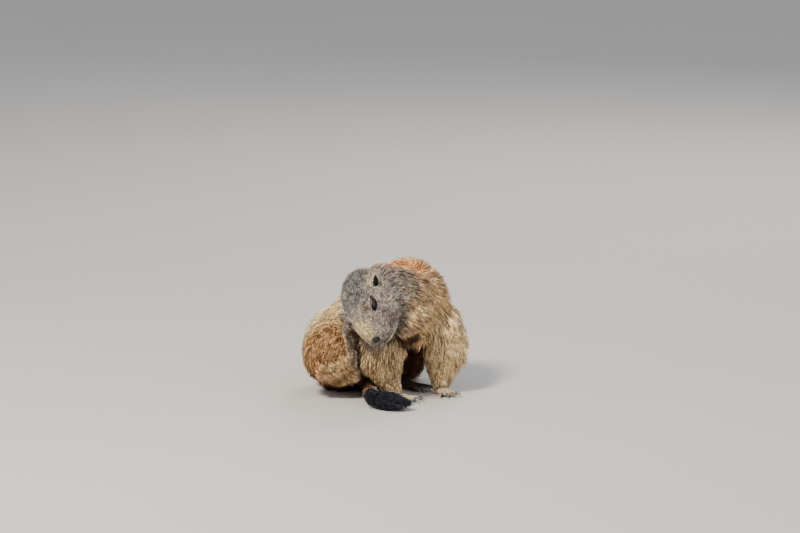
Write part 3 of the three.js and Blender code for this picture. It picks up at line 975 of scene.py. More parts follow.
    @staticmethod
    def _lids(places: np.ndarray, eye: Eye) -> np.ndarray:
        """Opens an almond over the eye, with a raised rim that folds over the ball.

        Args:
            places: pose millimetres, one point in each row.
            eye: the eye in question.

        Returns:
            The points after the move.
        """
        local = eye.from_pose(places)
        ring = eye.ring(local)
        flat = local[:, 0] ** 2 + local[:, 1] ** 2
        over = np.sqrt(np.maximum((eye.ball + eye.lid) ** 2 - flat, 1.0))
        behind = np.sqrt(np.maximum((eye.ball - 1.6) ** 2 - flat, 0.0)) - 0.4
        rim = over + 0.3 * np.exp(-(((ring - 1.12) / 0.1) ** 2))
        crease = -0.7 * np.exp(-(((ring - 1.75) / 0.2) ** 2))
        near = (ring < 2.6) & (local[:, 2] > 0)
        hug = 1 - smoothstep(ring, 1.35, 2.3)
        height = local[:, 2] * (1 - hug) + rim * hug + crease
        height = np.where(ring < 1.0, behind, height)
        edge = (ring >= 1.0) & (ring < 1.1)
        height = np.where(edge, behind + (rim - behind) * smoothstep(ring, 0.98, 1.08), height)
        local[:, 2] = np.where(near, height, local[:, 2])
        return np.where(near[:, None], eye.to_pose(local), places)

    @staticmethod
    def _nose(places: np.ndarray) -> np.ndarray:
        """Hollows the nostrils, with a comma behind each, and parts the upper lip under the nose.

        Args:
            places: pose millimetres, one point in each row.

        Returns:
            The points after the move.
        """
        head = HEAD.from_pose(places)
        front = smoothstep(head[:, 0], -7.0, -2.0)
        side = np.abs(head[:, 1])
        hole = np.exp(-(((side - 3.0) / 1.25) ** 2) - ((head[:, 2] + 1.5) / 1.1) ** 2)
        comma = np.exp(-(((side - 4.7) / 1.3) ** 2) - ((head[:, 2] - 0.1 * side) / 0.55) ** 2)
        wing = np.exp(-(((side - 3.4) / 2.6) ** 2) - ((head[:, 2] - 0.9) / 2.2) ** 2)
        middle = np.exp(-((side / 0.55) ** 2)) * smoothstep(2.6 - head[:, 2], 0.0, 2.0)
        parting = np.exp(-((side / 0.75) ** 2)) * smoothstep(-head[:, 2], 3.0, 5.0)
        parting *= 1 - smoothstep(-head[:, 2], 12.0, 15.0)
        head[:, 0] += front * (0.9 * wing - 3.4 * hole - 1.4 * comma - 0.7 * middle)
        head[:, 0] -= 1.6 * parting * smoothstep(head[:, 0], -12.0, -6.0)
        moved = head[:, 0] > -16
        return np.where(moved[:, None], HEAD.to_pose(head), places)

    @staticmethod
    def _lips(places: np.ndarray) -> np.ndarray:
        """Cuts the line of the mouth between the upper lip and the chin, back to its corners.

        Args:
            places: pose millimetres, one point in each row.

        Returns:
            The points after the move.
        """
        head = HEAD.from_pose(places)
        line = mouth_line(head)
        depth = 3.4 * smoothstep(head[:, 0], -36.0, -26.0)
        groove = np.exp(-(((head[:, 2] - line) / 1.15) ** 2)) * depth
        lip = 0.8 * np.exp(-(((head[:, 2] - line - 2.6) / 1.6) ** 2)) * smoothstep(head[:, 0], -32.0, -22.0)
        outward = unit(np.column_stack((head[:, 0] + 26, head[:, 1], np.zeros(len(head)))))
        on_face = (head[:, 0] > -38) & (head[:, 2] < -6) & (head[:, 2] > -26)
        moved = head + outward * (lip - groove)[:, None]
        return np.where(on_face[:, None], HEAD.to_pose(moved), places)

    @staticmethod
    def _pads(places: np.ndarray, foot: Foot) -> np.ndarray:
        """Raises the pads of a sole, two behind and one under each toe's root, and creases between them.

        Args:
            places: pose millimetres, one point in each row.
            foot: the foot it belongs to.

        Returns:
            The points after the move.
        """
        local = foot.from_pose(places)
        length, width, thick = foot.sole
        spots = [(length * 0.4, width * 0.2, 4.6), (length * 0.46, -width * 0.2, 4.6)]
        spots += [(length * 0.8, width * share, 3.8) for share in (-0.32, 0.0, 0.32)]
        for index in range(foot.toes):
            root, way, reach = foot.toe_line(index)
            spots.append((*(root + way * reach * 0.85)[:2], 3.0))
        swell = np.zeros(len(local))
        for along, across, size in spots:
            near = ((local[:, 0] - along) / size) ** 2 + ((local[:, 1] - across) / (size * 0.85)) ** 2
            swell = np.maximum(swell, np.exp(-near))
        under = (local[:, 2] < thick * 0.3) & (local[:, 2] > -4) & (np.abs(local[:, 1]) < width * 0.75)
        under &= (local[:, 0] > 0) & (local[:, 0] < length + 24)
        local[:, 2] -= np.where(under, 2.0 * swell - 0.6, 0.0)
        return np.where(under[:, None], foot.to_pose(local), places)

    @staticmethod
    def _cup(places: np.ndarray, ear: Ear) -> np.ndarray:
        """Hollows the ear, which leaves a rounded rim.

        Args:
            places: pose millimetres, one point in each row.
            ear: the ear in question.

        Returns:
            The points after the move.
        """
        local = ear.from_pose(places)
        side = ear.side
        across = (local[:, 0] - 1.5) / ear.cup[0], (local[:, 2] - ear.rise) / ear.cup[2]
        inside = 1 - across[0] ** 2 - across[1] ** 2
        hollow = side * 4.3 - side * ear.cup[1] * np.sqrt(np.maximum(inside, 0.0))
        deeper = (inside > 0) & (local[:, 1] * side > 0.2)
        local[:, 1] = np.where(deeper & (local[:, 1] * side > hollow * side), hollow, local[:, 1])
        return np.where(deeper[:, None], ear.to_pose(local), places)

    @staticmethod
    def _unwrap(piece: bpy.types.Object) -> None:
        """Unwraps the skin by its own shape, into the layer that the coat's tufts take their places from.

        Args:
            piece: the object.
        """
        bpy.context.view_layer.objects.active = piece
        piece.select_set(True)
        bpy.ops.object.mode_set(mode="EDIT")
        bpy.ops.mesh.select_all(action="SELECT")
        bpy.ops.uv.smart_project(angle_limit=math.radians(66), island_margin=0.002)
        bpy.ops.object.mode_set(mode="OBJECT")
        piece.select_set(False)
        piece.data.uv_layers[0].name = "OFBake"


def mouth_line(head: np.ndarray) -> np.ndarray:
    """The height of the mouth's line in the head's frame, low in its middle and up at its corner."""
    back = np.clip(-head[:, 0], 0, 40)
    return -14.2 - 2.4 * np.sin(np.clip(back / 22, 0, 1) * math.pi) + 2.2 * smoothstep(back, 20, 36)


@dataclass
class Roots:
    """Where tufts grow: places and normals in pose millimetres, and their places on the unwrap."""

    places: np.ndarray
    normals: np.ndarray
    patches: np.ndarray


@dataclass
class Ground:
    """The skin as tables, to scatter roots on."""

    corners: np.ndarray
    normals: np.ndarray
    patches: np.ndarray
    areas: np.ndarray

    @classmethod
    def of(cls, skin: bpy.types.Object) -> "Ground":
        """Reads the triangles, normals and unwrap of the skin.

        Args:
            skin: the finished skin, unwrapped.

        Returns:
            The skin's triangles as tables.
        """
        mesh = skin.data
        index = np.empty(len(mesh.loops), int)
        mesh.loops.foreach_get("vertex_index", index)
        index = index.reshape(-1, 3)
        places = POSE.from_row(vertex_table(mesh))
        normals = vertex_table(mesh, "normal")
        patches = np.empty(len(mesh.loops) * 2)
        mesh.uv_layers["OFBake"].data.foreach_get("uv", patches)
        corners = places[index]
        cross = np.cross(corners[:, 1] - corners[:, 0], corners[:, 2] - corners[:, 0])
        return cls(corners, normals[index], patches.reshape(-1, 3, 2), np.linalg.norm(cross, axis=1) / 2)

    def scatter(self, wanted: np.ndarray, rng: np.random.Generator) -> Roots:
        """Scatters roots evenly; wanted is how many tufts each triangle should carry on average.

        Args:
            wanted: how many tufts each triangle should carry on average.
            rng: seeded random numbers.

        Returns:
            The roots.
        """
        reach = np.cumsum(wanted)
        count = int(reach[-1])
        at = (np.arange(count) + rng.random(count)) * (reach[-1] / count)
        chosen = np.minimum(np.searchsorted(reach, at), len(wanted) - 1)
        share = rng.random((count, 2))
        over = share.sum(axis=1) > 1
        share[over] = 1 - share[over]
        weights = np.column_stack((1 - share.sum(axis=1), share))[:, :, None]
        places = (self.corners[chosen] * weights).sum(axis=1)
        normals = unit((self.normals[chosen] * weights).sum(axis=1))
        return Roots(places, normals, (self.patches[chosen] * weights).sum(axis=1))


def growth_share(places: np.ndarray, normals: np.ndarray) -> np.ndarray:
    """How densely hair grows, 0 on the nose pad, the eyes' openings, lips, soles and what meets the floor.

    Args:
        places: pose millimetres, one point in each row.
        normals: the skin's normal at each of them.

    Returns:
        One share for each point.
    """
    head = HEAD.from_pose(places)
    share = np.ones(len(places))
    pad = np.linalg.norm((head - (-2.2, 0, -0.8)) / (4.6, 6.1, 4.8), axis=1)
    share *= smoothstep(pad, 1.0, 1.06)
    for eye in EYES:
        local = eye.from_pose(places)
        near = (local[:, 2] > 0) & (np.linalg.norm(local, axis=1) < 13)
        share *= np.where(near, smoothstep(eye.ring(local), 1.1, 1.2), 1.0)
    from_lips = np.abs(head[:, 2] - mouth_line(head))
    share[(head[:, 0] > -33) & (from_lips < 1.7) & (np.abs(head[:, 1]) < 24)] = 0
    for ear in EARS:
        local = ear.from_pose(places)
        cup = ((local[:, 0] - 1.0) / ear.cup[0]) ** 2 + ((local[:, 2] - ear.rise) / ear.cup[2]) ** 2
        share[(cup < 0.8) & (local[:, 1] * ear.side > -3) & (local[:, 1] * ear.side < 6)] *= 0.25
    for foot in FEET:
        local = foot.from_pose(places)
        length, width, thick = foot.sole
        on_foot = (local[:, 0] > 2) & (local[:, 0] < length + 22) & (np.abs(local[:, 1]) < width * 0.75)
        under = (normals @ foot.axes[:, 2] < -0.45) & (local[:, 2] < thick * 0.45) & (local[:, 2] > -6)
        share[on_foot & under & (local[:, 0] > length * 0.3)] *= 0.5 if foot is RAISED_FOOT else 0.0
    share[(places[:, 2] < 5) & (normals[:, 2] < -0.3)] = 0
    return share


@dataclass
class Strands:
    """Tufts as paths, before they are given a body."""

    paths: np.ndarray
    width: np.ndarray
    normals: np.ndarray
    patches: np.ndarray
    seeds: np.ndarray
    region: np.ndarray

    def take(self, chosen: np.ndarray) -> "Strands":
        """The tufts that are chosen."""
        return Strands(*(getattr(self, name)[chosen] for name in self.__dataclass_fields__))


@dataclass
class Coat:
    """The coat, as solid tufts that follow the lie of the hair and gather at their tips."""

    seed: int = 11
    density: float = 1.0
    most_faces: int = 185000
    clump_of: int = 12
    levels: tuple[float, ...] = (0.0, 0.4, 0.75, 1.0)
    short: float = 24.5
    short_levels: tuple[float, ...] = (0.0, 0.55, 1.0)
    pieces: list[bpy.types.Object] = field(default_factory=list)

    def grow(self, skin: bpy.types.Object) -> list[bpy.types.Object]:
        """Grows every tuft on the skin.

        Args:
            skin: the finished skin, unwrapped.

        Returns:
            One object for each stretch of the coat.
        """
        rng = np.random.default_rng(self.seed)
        ground = Ground.of(skin)
        middle = ground.corners.mean(axis=1)
        normals = unit(ground.normals.mean(axis=1))
        _flow, hair, _region = LOBES.hair_at(middle)
        wanted = ground.areas * hair[:, 3] * growth_share(middle, normals) * self.density
        roots = ground.scatter(wanted, rng)
        keep = growth_share(roots.places, roots.normals) > rng.random(len(roots.places))
        roots = Roots(roots.places[keep], roots.normals[keep], roots.patches[keep])
        flow, hair, region = LOBES.hair_at(roots.places)
        log.info("coat: %d tufts", len(roots.places))
        is_short = hair[:, 0] < self.short
        for levels, chosen in ((self.levels, ~is_short), (self.short_levels, is_short)):
            part = Roots(roots.places[chosen], roots.normals[chosen], roots.patches[chosen])
            strands = self._comb(part, flow[chosen], hair[chosen], region[chosen], np.array(levels), rng)
            self._split(strands, np.array(levels), "short" if levels is self.short_levels else "long")
        return self.pieces

    def _comb(
        self,
        roots: Roots,
        flow: np.ndarray,
        hair: np.ndarray,
        region: np.ndarray,
        levels: np.ndarray,
        rng: np.random.Generator,
    ) -> Strands:
        """Lays each tuft along its path, then gathers neighbours into locks.

        Args:
            roots: where the tufts grow.
            flow: which way the hair lies at each root.
            hair: the hair's values at each root.
            region: the region's number at each root.
            levels: where the rings stand along a tuft, 0 to 1.
            rng: seeded random numbers.

        Returns:
            The tufts as paths.
        """
        count = len(roots.places)
        length, width, lift, _density, clump, wild = hair.T
        normal = roots.normals
        flat = unit(flow - normal * np.sum(flow * normal, axis=1)[:, None])
        across = np.cross(normal, flat)
        stray = np.radians(rng.normal(0, 1, count) * wild)
        way = flat * np.cos(stray)[:, None] + across * np.sin(stray)[:, None]
        rise = np.radians(np.clip(lift * rng.normal(1, 0.28, count), 3, 75))
        length = length * rng.uniform(0.72, 1.18, count)
        up = (length * np.sin(rise))[:, None, None] * normal[:, None, :]
        out = (length * np.cos(rise))[:, None, None] * way[:, None, :]
        step = levels[None, :, None]
        sunk = np.minimum(0.9, length * 0.1)[:, None, None] * normal[:, None, :]
        paths = roots.places[:, None, :] - sunk + up * (1.55 * step - 0.75 * step**2) + out * step
        paths[:, :, 2] -= (0.07 * length)[:, None] * levels[None, :] ** 2
        leader = self._leaders(roots.places, rng)
        pull = (clump * rng.uniform(0.55, 1.15, count))[:, None, None] * step**1.35
        paths = paths + (paths[leader] - paths) * np.clip(pull, 0, 0.92)
        paths[:, :, 2] = np.maximum(paths[:, :, 2], 0.35)
        seeds = np.clip(rng.normal(0.5, 0.25, count) * 0.62 + rng.random(count)[leader] * 0.38, 0, 1)
        width = width * rng.uniform(0.75, 1.25, count)
        return Strands(paths, width, normal, roots.patches, seeds, region)

    def _leaders(self, places: np.ndarray, rng: np.random.Generator) -> np.ndarray:
        """The tuft that each one gathers towards.

        Args:
            places: the roots in pose millimetres.
            rng: seeded random numbers.

        Returns:
            One index for each root.
        """
        leaders = rng.choice(len(places), max(1, len(places) // self.clump_of), replace=False)
        tree = kdtree.KDTree(len(leaders))
        for number, index in enumerate(leaders):
            tree.insert(places[index], number)
        tree.balance()
        return leaders[np.array([tree.find(place)[1] for place in places])]

    def _split(self, strands: Strands, levels: np.ndarray, kind: str) -> None:
        """Makes the tufts into pieces that each stay small enough.

        Args:
            strands: the combed tufts.
            levels: where the rings stand along a tuft, 0 to 1.
            kind: the word for how long the tufts are.
        """
        rings = len(levels) - 1
        faces = 1 + 6 * (rings - 1) + 3
        most = self.most_faces // faces
        for number, place in enumerate(Region):
            index = np.flatnonzero(strands.region == number)
            for part, start in enumerate(range(0, len(index), most)):
                chosen = strands.take(index[start : start + most])
                self.pieces.append(self._body(chosen, levels, f"coat_{place.value}_{kind}_{part + 1}"))

    @staticmethod
    def _body(strands: Strands, levels: np.ndarray, name: str) -> bpy.types.Object:
        """Gives each tuft a tapered body of three sides, closed at its root and pointed at its tip.

        Args:
            strands: the combed tufts.
            levels: where the rings stand along a tuft, 0 to 1.
            name: its name.

        Returns:
            The piece of coat.
        """
        count, rings = len(strands.paths), len(levels) - 1
        ahead = unit(np.gradient(strands.paths, axis=1))[:, :rings]
        beside = unit(np.cross(ahead, strands.normals[:, None, :]))
        above = np.cross(beside, ahead)
        taper = np.interp(levels[:rings], (0, 0.35, 0.8, 1), (0.8, 1.0, 0.62, 0.2)) / 2
        size = strands.width[:, None] * taper[None, :]
        turns = np.radians((90.0, 210.0, 330.0))
        corner = np.cos(turns)[:, None] * beside[:, :, None, :] * 1.25
        corner = corner + np.sin(turns)[:, None] * above[:, :, None, :] * 0.8
        ring = strands.paths[:, :rings, None, :] + corner * size[:, :, None, None]
        points = np.concatenate((ring.reshape(count, rings * 3, 3), strands.paths[:, rings:]), axis=1)
        points[:, :, 2] = np.maximum(points[:, :, 2], 0.15)
        each = rings * 3 + 1
        quads = [
            (r * 3 + k, r * 3 + 3 + k, r * 3 + 3 + (k + 1) % 3, r * 3 + (k + 1) % 3)
            for r in range(rings - 1)
            for k in range(3)
        ]
        last = (rings - 1) * 3
        thirds = [(0, 1, 2)] + [(last + k, each - 1, last + (k + 1) % 3) for k in range(3)]
        first = np.arange(count)[:, None] * each
        loops = np.concatenate(((first + np.ravel(quads)), (first + np.ravel(thirds))), axis=1)
        sizes = np.array([4] * len(quads) + [3] * len(thirds))
        mesh = bpy.data.meshes.new(name)
        mesh.vertices.add(count * each)
        mesh.vertices.foreach_set("co", POSE.to_row(points.reshape(-1, 3)).ravel())
        mesh.loops.add(loops.size)
        mesh.loops.foreach_set("vertex_index", loops.ravel().astype(np.int32))
        mesh.polygons.add(count * len(sizes))
        starts = np.concatenate(([0], np.cumsum(np.tile(sizes, count))[:-1]))
        mesh.polygons.foreach_set("loop_start", starts.astype(np.int32))
        mesh.update(calc_edges=True)
        strand = np.tile(np.concatenate((np.repeat(levels[:rings], 3), [1.0])), count)
        mesh.attributes.new("strand", "FLOAT", "POINT").data.foreach_set("value", strand.astype(np.float32))
        seed = np.repeat(strands.seeds, each)
        mesh.attributes.new("seed", "FLOAT", "POINT").data.foreach_set("value", seed.astype(np.float32))
        nudge = np.column_stack((np.tile((-1.0, 0.0, 1.0), rings), np.repeat(levels[:rings], 3)))
        nudge = np.vstack((nudge, (0.0, 1.0))) * (0.0014, 0.0028)
        patch = (strands.patches[:, None, :] + nudge[None, :, :]).reshape(-1, 2)
        uv = mesh.uv_layers.new(name="OFBake")
        uv.data.foreach_set("uv", patch[loops.ravel()].ravel().astype(np.float32))
        mesh.shade_smooth()
        mesh.validate()
        piece = bpy.data.objects.new(name, mesh)
        bpy.context.scene.collection.objects.link(piece)
        return piece


def bent_horn(path: np.ndarray, radii: np.ndarray, squeeze: float, up: np.ndarray) -> bmesh.types.BMesh:
    """A closed tapering body along a path, such as a claw or a whisker.

    Args:
        path: pose millimetres from root to tip.
        radii: the radius at each point of the path.
        squeeze: how wide the section is across, beside its height.
        up: roughly the upper side.

    Returns:
        The body in metres.
    """
    bm = bmesh.new()
    bmesh.ops.create_uvsphere(bm, u_segments=14, v_segments=18, radius=1.0)
    at = np.linspace(0, 1, len(path))
    ahead = unit(np.gradient(path, axis=0))
    for vertex in bm.verts:
        share = (1 - vertex.co.z) / 2
        share = 0.5 * share + 0.5 * (math.acos(max(-1.0, min(1.0, vertex.co.z))) / math.pi)
        centre = np.array([np.interp(share, at, path[:, axis]) for axis in range(3)])
        along = unit([np.interp(share, at, ahead[:, axis]) for axis in range(3)])
        beside = unit(np.cross(along, up))
        above = np.cross(beside, along)
        reach = math.hypot(vertex.co.x, vertex.co.y)
        turn = math.atan2(vertex.co.y, vertex.co.x) if reach > 1e-6 else 0.0
        size = float(np.interp(share, at, radii)) * min(1.0, reach * 2.2)
        offset = beside * (math.cos(turn) * size * squeeze) + above * (math.sin(turn) * size)
        vertex.co = POSE.to_row(centre + offset)
    bmesh.ops.recalc_face_normals(bm, faces=bm.faces[:])
    return bm


def add_body(whole: bmesh.types.BMesh, part: bmesh.types.BMesh) -> None:
    """Adds one body to another, and frees it.

    Args:
        whole: the mesh that gains it.
        part: the body to add.
    """
    mesh = bpy.data.meshes.new("part")
    part.to_mesh(mesh)
    part.free()
    whole.from_mesh(mesh)
    bpy.data.meshes.remove(mesh)


@dataclass
class Claws:
    """The claws of one foot, curved and blunt, each out of its own toe."""

    foot: Foot

    def build(self) -> bpy.types.Object:
        """Makes every claw of the foot as one piece.

        Returns:
            The claws as one object.
        """
        whole = bmesh.new()
        for index in range(self.foot.toes):
            root, way, reach = self.foot.toe_line(index)
            base = root + way * (reach + self.foot.toe[1] * 0.35)
            long = self.foot.claw_length
            rises = ((-5.0, 0.9), (-2.0, 1.5), (long * 0.3, 1.9), (long * 0.62, 1.2))
            rises += ((long * 0.86, -0.2), (long, -1.9))
            path = np.array([base + way * far + np.array((0, 0, rise)) for far, rise in rises])
            fine = curve_through(path, np.linspace(0, len(path) - 1, 26))
            radii = np.interp(np.linspace(0, 1, 26), (0, 0.25, 0.6, 0.9, 1), (1.5, 2.0, 1.45, 0.75, 0.3))
            radii *= self.foot.claw_radius / 1.8
            add_body(whole, bent_horn(self.foot.to_pose(fine), radii, 0.62, self.foot.axes[:, 2]))
        piece = object_from(whole, f"claws_{self.foot.name}")
        piece.data.shade_smooth()
        return piece


@dataclass
class Eyeball:
    """An eye: a smooth ball whose dark iris and pupil face out of the lids."""

    eye: Eye

    def build(self) -> bpy.types.Object:
        """Makes the ball, its pole outwards, with a slight bulge over the iris.

        Returns:
            The ball.
        """
        bm = bmesh.new()
        bmesh.ops.create_uvsphere(bm, u_segments=48, v_segments=32, radius=1.0)
        for vertex in bm.verts:
            bulge = 1 + 0.035 * max(0.0, vertex.co.z) ** 6
            place = self.eye.to_pose(np.array(vertex.co) * self.eye.ball * bulge)
            vertex.co = POSE.to_row(place)
        bmesh.ops.recalc_face_normals(bm, faces=bm.faces[:])
        piece = object_from(bm, "eyeball_left" if self.eye.side > 0 else "eyeball_right")
        piece.data.shade_smooth()
        return piece


@dataclass
class Whiskers:
    """The stiff hairs of the lips and brows."""

    side: int
    rows: int = 4
    each: int = 4
    seed: int = 5

    def build(self) -> bpy.types.Object:
        """Makes the whiskers of one side of the face.

        Returns:
            The whiskers as one object.
        """
        rng = np.random.default_rng(self.seed + self.side)
        whole = bmesh.new()
        for row in range(self.rows):
            for column in range(self.each):
                root = np.array((-8.0 - column * 4.2, self.side * (15.0 + column * 1.6), -2.5 - row * 2.9))
                way = unit((-0.75 - 0.25 * column, self.side * (1.25 - 0.1 * column), 0.25 - row * 0.22))
                self._hair(whole, root, way, rng.uniform(26, 40) * (0.8 + 0.1 * column), rng)
        for number in range(3):
            root = np.array((-38.0 - number * 2, self.side * (17.0 + number), 25.5))
            self._hair(whole, root, unit((-0.35, self.side * 0.45, 1)), rng.uniform(20, 28), rng)
        piece = object_from(whole, "whiskers_left" if self.side > 0 else "whiskers_right")
        piece.data.shade_smooth()
        return piece

    def _hair(
        self,
        whole: bmesh.types.BMesh,
        root: np.ndarray,
        way: np.ndarray,
        length: float,
        rng: np.random.Generator,
    ) -> None:
        """Adds one whisker, bent back and down towards its tip.

        Args:
            whole: the mesh that gains it.
            root: where it starts, in the head's frame.
            way: which way it heads.
            length: millimetres.
            rng: seeded random numbers.
        """
        bend = rng.normal(0, 0.08, 3) + np.array((-0.18, 0, -0.22))
        share = np.linspace(-0.12, 1, 12)[:, None]
        path = HEAD.to_pose(root + way * share * length + bend * share**2 * length)
        radii = np.interp(share[:, 0], (-0.12, 0.2, 1), (0.24, 0.22, 0.06))
        add_body(whole, bent_horn(path, radii, 1.0, HEAD.axes[:, 2]))


def linear(code: str) -> tuple[float, float, float, float]:
    """Turns a written colour such as B98A52 into linear light."""
    parts = [int(code[at : at + 2], 16) / 255 for at in (0, 2, 4)]
    return (*(p / 12.92 if p <= 0.04045 else ((p + 0.055) / 1.055) ** 2.4 for p in parts), 1.0)


class Wire:
    """An output of a shader node that takes part in arithmetic."""

    def __init__(self, shader: "Shader", socket: bpy.types.NodeSocket) -> None:
        """Holds the socket and the shader it belongs to."""
        self.shader = shader
        self.socket = socket

    def __add__(self, other: "Wire | float") -> "Wire":
        """Adds."""
        return self.shader.math("ADD", self, other)

    def __radd__(self, other: float) -> "Wire":
        """Adds to a number."""
        return self.shader.math("ADD", other, self)

    def __sub__(self, other: "Wire | float") -> "Wire":
        """Subtracts."""
        return self.shader.math("SUBTRACT", self, other)

    def __rsub__(self, other: float) -> "Wire":
        """Subtracts from a number."""
        return self.shader.math("SUBTRACT", other, self)

    def __mul__(self, other: "Wire | float") -> "Wire":
        """Multiplies."""
        return self.shader.math("MULTIPLY", self, other)

    def __rmul__(self, other: float) -> "Wire":
        """Multiplies a number."""
        return self.shader.math("MULTIPLY", other, self)

    def __truediv__(self, other: "Wire | float") -> "Wire":
        """Divides."""
        return self.shader.math("DIVIDE", self, other)

    def __rtruediv__(self, other: float) -> "Wire":
        """Divides a number."""
        return self.shader.math("DIVIDE", other, self)

    def __pow__(self, other: float) -> "Wire":
        """Raises to a power."""
        return self.shader.math("POWER", self, other)

    def rise(self, low: float, high: float) -> "Wire":
        """Rises smoothly from 0 at low to 1 at high."""
        return self.shader.ramp(self, low, high, 0.0, 1.0)

    def fall(self, low: float, high: float) -> "Wire":
        """Falls smoothly from 1 at low to 0 at high."""
        return self.shader.ramp(self, low, high, 1.0, 0.0)


Value = Wire | float | tuple
Inputs = dict[str | int, Value]


class Shader:
    """A material's nodes, made by name and joined by their inputs."""

    def __init__(self, name: str) -> None:
        """Starts an empty material.

        Args:
            name: its name.
        """
        self.material = bpy.data.materials.new(name)
        self.material.use_nodes = True
        self.tree = self.material.node_tree
        self.tree.nodes.clear()
        self._place: Wire | None = None

    def node(self, kind: str, inputs: Inputs | None = None, **settings: object) -> bpy.types.Node:
        """Makes any node: first its settings, then its inputs, from numbers, colours or wires.

        Args:
            kind: the node's type.
            inputs: values by the input's name or number.
            settings: the node's own settings.

        Returns:
            The node.
        """
        made = self.tree.nodes.new(kind)
        for name, value in settings.items():
            setattr(made, name, value)
        for name, value in (inputs or {}).items():
            if isinstance(value, Wire):
                self.tree.links.new(value.socket, made.inputs[name])
            else:
                made.inputs[name].default_value = value
        return made

    def math(self, operation: str, *values: Value) -> Wire:
        """Does arithmetic on numbers."""
        made = self.node("ShaderNodeMath", dict(enumerate(values)), operation=operation)
        return Wire(self, made.outputs[0])

    def vector(self, operation: str, *values: Value, out: str = "Vector") -> Wire:
        """Does arithmetic on vectors."""
        made = self.node("ShaderNodeVectorMath", dict(enumerate(values)), operation=operation)
        return Wire(self, made.outputs[out])

    def ramp(self, value: Wire, low: float, high: float, to_low: float, to_high: float) -> Wire:
        """Maps a range smoothly to another."""
        inputs = {"Value": value, "From Min": low, "From Max": high, "To Min": to_low, "To Max": to_high}
        made = self.node("ShaderNodeMapRange", inputs, interpolation_type="SMOOTHSTEP")
        return Wire(self, made.outputs["Result"])

    def mix(self, share: Value, low: Value, high: Value) -> Wire:
        """Mixes two colours."""
        made = self.node("ShaderNodeMix", {0: share, 6: low, 7: high}, data_type="RGBA")
        return Wire(self, made.outputs[2])

    def scaled(self, colour: Value, by: Value) -> Wire:
        """Makes a colour lighter or darker."""
        made = self.node("ShaderNodeVectorMath", {0: colour, "Scale": by}, operation="SCALE")
        return Wire(self, made.outputs[0])

    def brightness(self, colour: Wire) -> Wire:
        """How light a colour is, from 0 to 1."""
        return Wire(self, self.node("ShaderNodeRGBToBW", {"Color": colour}).outputs[0])

    def attribute(self, name: str) -> Wire:
        """Reads a number that the mesh carries."""
        return Wire(self, self.node("ShaderNodeAttribute", attribute_name=name).outputs["Fac"])

    def noise(self, size: float, detail: float = 2.0) -> Wire:
        """Noise from 0 to 1 whose grain is about size metres across."""
        inputs = {"Vector": self.place, "Scale": 1 / size, "Detail": detail}
        return Wire(self, self.node("ShaderNodeTexNoise", inputs).outputs["Fac"])

    @property
    def place(self) -> Wire:
        """Where a point is on the object."""
        if self._place is None:
            self._place = Wire(self, self.node("ShaderNodeTexCoord").outputs["Object"])
        return self._place

    def bump(self, height: Wire, strength: float, distance: float) -> Wire:
        """A bumped normal."""
        made = self.node("ShaderNodeBump", {"Height": height, "Strength": strength, "Distance": distance})
        return Wire(self, made.outputs["Normal"])

    def finish(self, **inputs: Value) -> bpy.types.Material:
        """Ends the material in a Principled BSDF.

        Args:
            inputs: values by the input's name, with _ for each space.

        Returns:
            The finished material.
        """
        named = {name.replace("_", " "): value for name, value in inputs.items()}
        surface = self.node("ShaderNodeBsdfPrincipled", named)
        out = self.node("ShaderNodeOutputMaterial")
        self.tree.links.new(surface.outputs[0], out.inputs[0])
        return self.material


class Space(Enum):
    """What a marking is placed by."""

    BODY = "body"
    HEAD = "head"


@dataclass(frozen=True)
class Marking:
    """A colour of the coat inside an ellipsoid, fading out from core to its edge."""

    colour: str
    centre: tuple[float, float, float]
    radii: tuple[float, float, float]
    space: Space = Space.BODY
    core: float = 0.6
    strength: float = 1.0
    ragged: float = 0.25

    def share(self, shader: Shader, ruffle: Wire) -> Wire:
        """How strongly the colour shows at a point.

        Args:
            shader: the material in the making.
            ruffle: noise that breaks its edge.

        Returns:
            A number from 0 to its strength.
        """
        axes, centre = np.eye(3), np.array(self.centre)
        if self.space is Space.HEAD:
            axes, centre = HEAD.axes, HEAD.to_pose(self.centre)
        return placed_share(shader, centre, axes, self.radii, self.core, self.strength, ruffle, self.ragged)


def placed_share(
    shader: Shader,
    centre: np.ndarray,
    axes: np.ndarray,
    radii: tuple[float, float, float],
    core: float,
    strength: float = 1.0,
    ruffle: Wire | None = None,
    ragged: float = 0.0,
) -> Wire:
    """How far inside an ellipsoid a point is: strength in its core, and 0 outside it.

    Args:
        shader: the material in the making.
        centre: pose millimetres.
        axes: the ellipsoid's axes as columns.
        radii: millimetres along those axes.
        core: the share of the radii out to which it is full.
        strength: the most that it gives.
        ruffle: noise that breaks its edge.
        ragged: how much the noise moves the edge.

    Returns:
        A number from 0 to strength.
    """
    turn = Matrix(axes.tolist()).to_euler("XYZ")
    inputs = {
        "Vector": shader.place,
        "Location": tuple(POSE.to_row(centre)),
        "Rotation": tuple(turn),
        "Scale": tuple(r * MM for r in radii),
    }
    local = Wire(shader, shader.node("ShaderNodeMapping", inputs, vector_type="TEXTURE").outputs[0])
    reach = shader.vector("LENGTH", local, out="Value")
    if ruffle is not None:
        reach = reach + (ruffle - 0.5) * ragged * 2
    return shader.ramp(reach, core, 1.0, strength, 0.0)


def both_sides(left: Marking) -> tuple[Marking, Marking]:
    """A marking of the head's left side, and the same on its right."""
    x, y, z = left.centre
    return left, replace(left, centre=(x, -y, z))


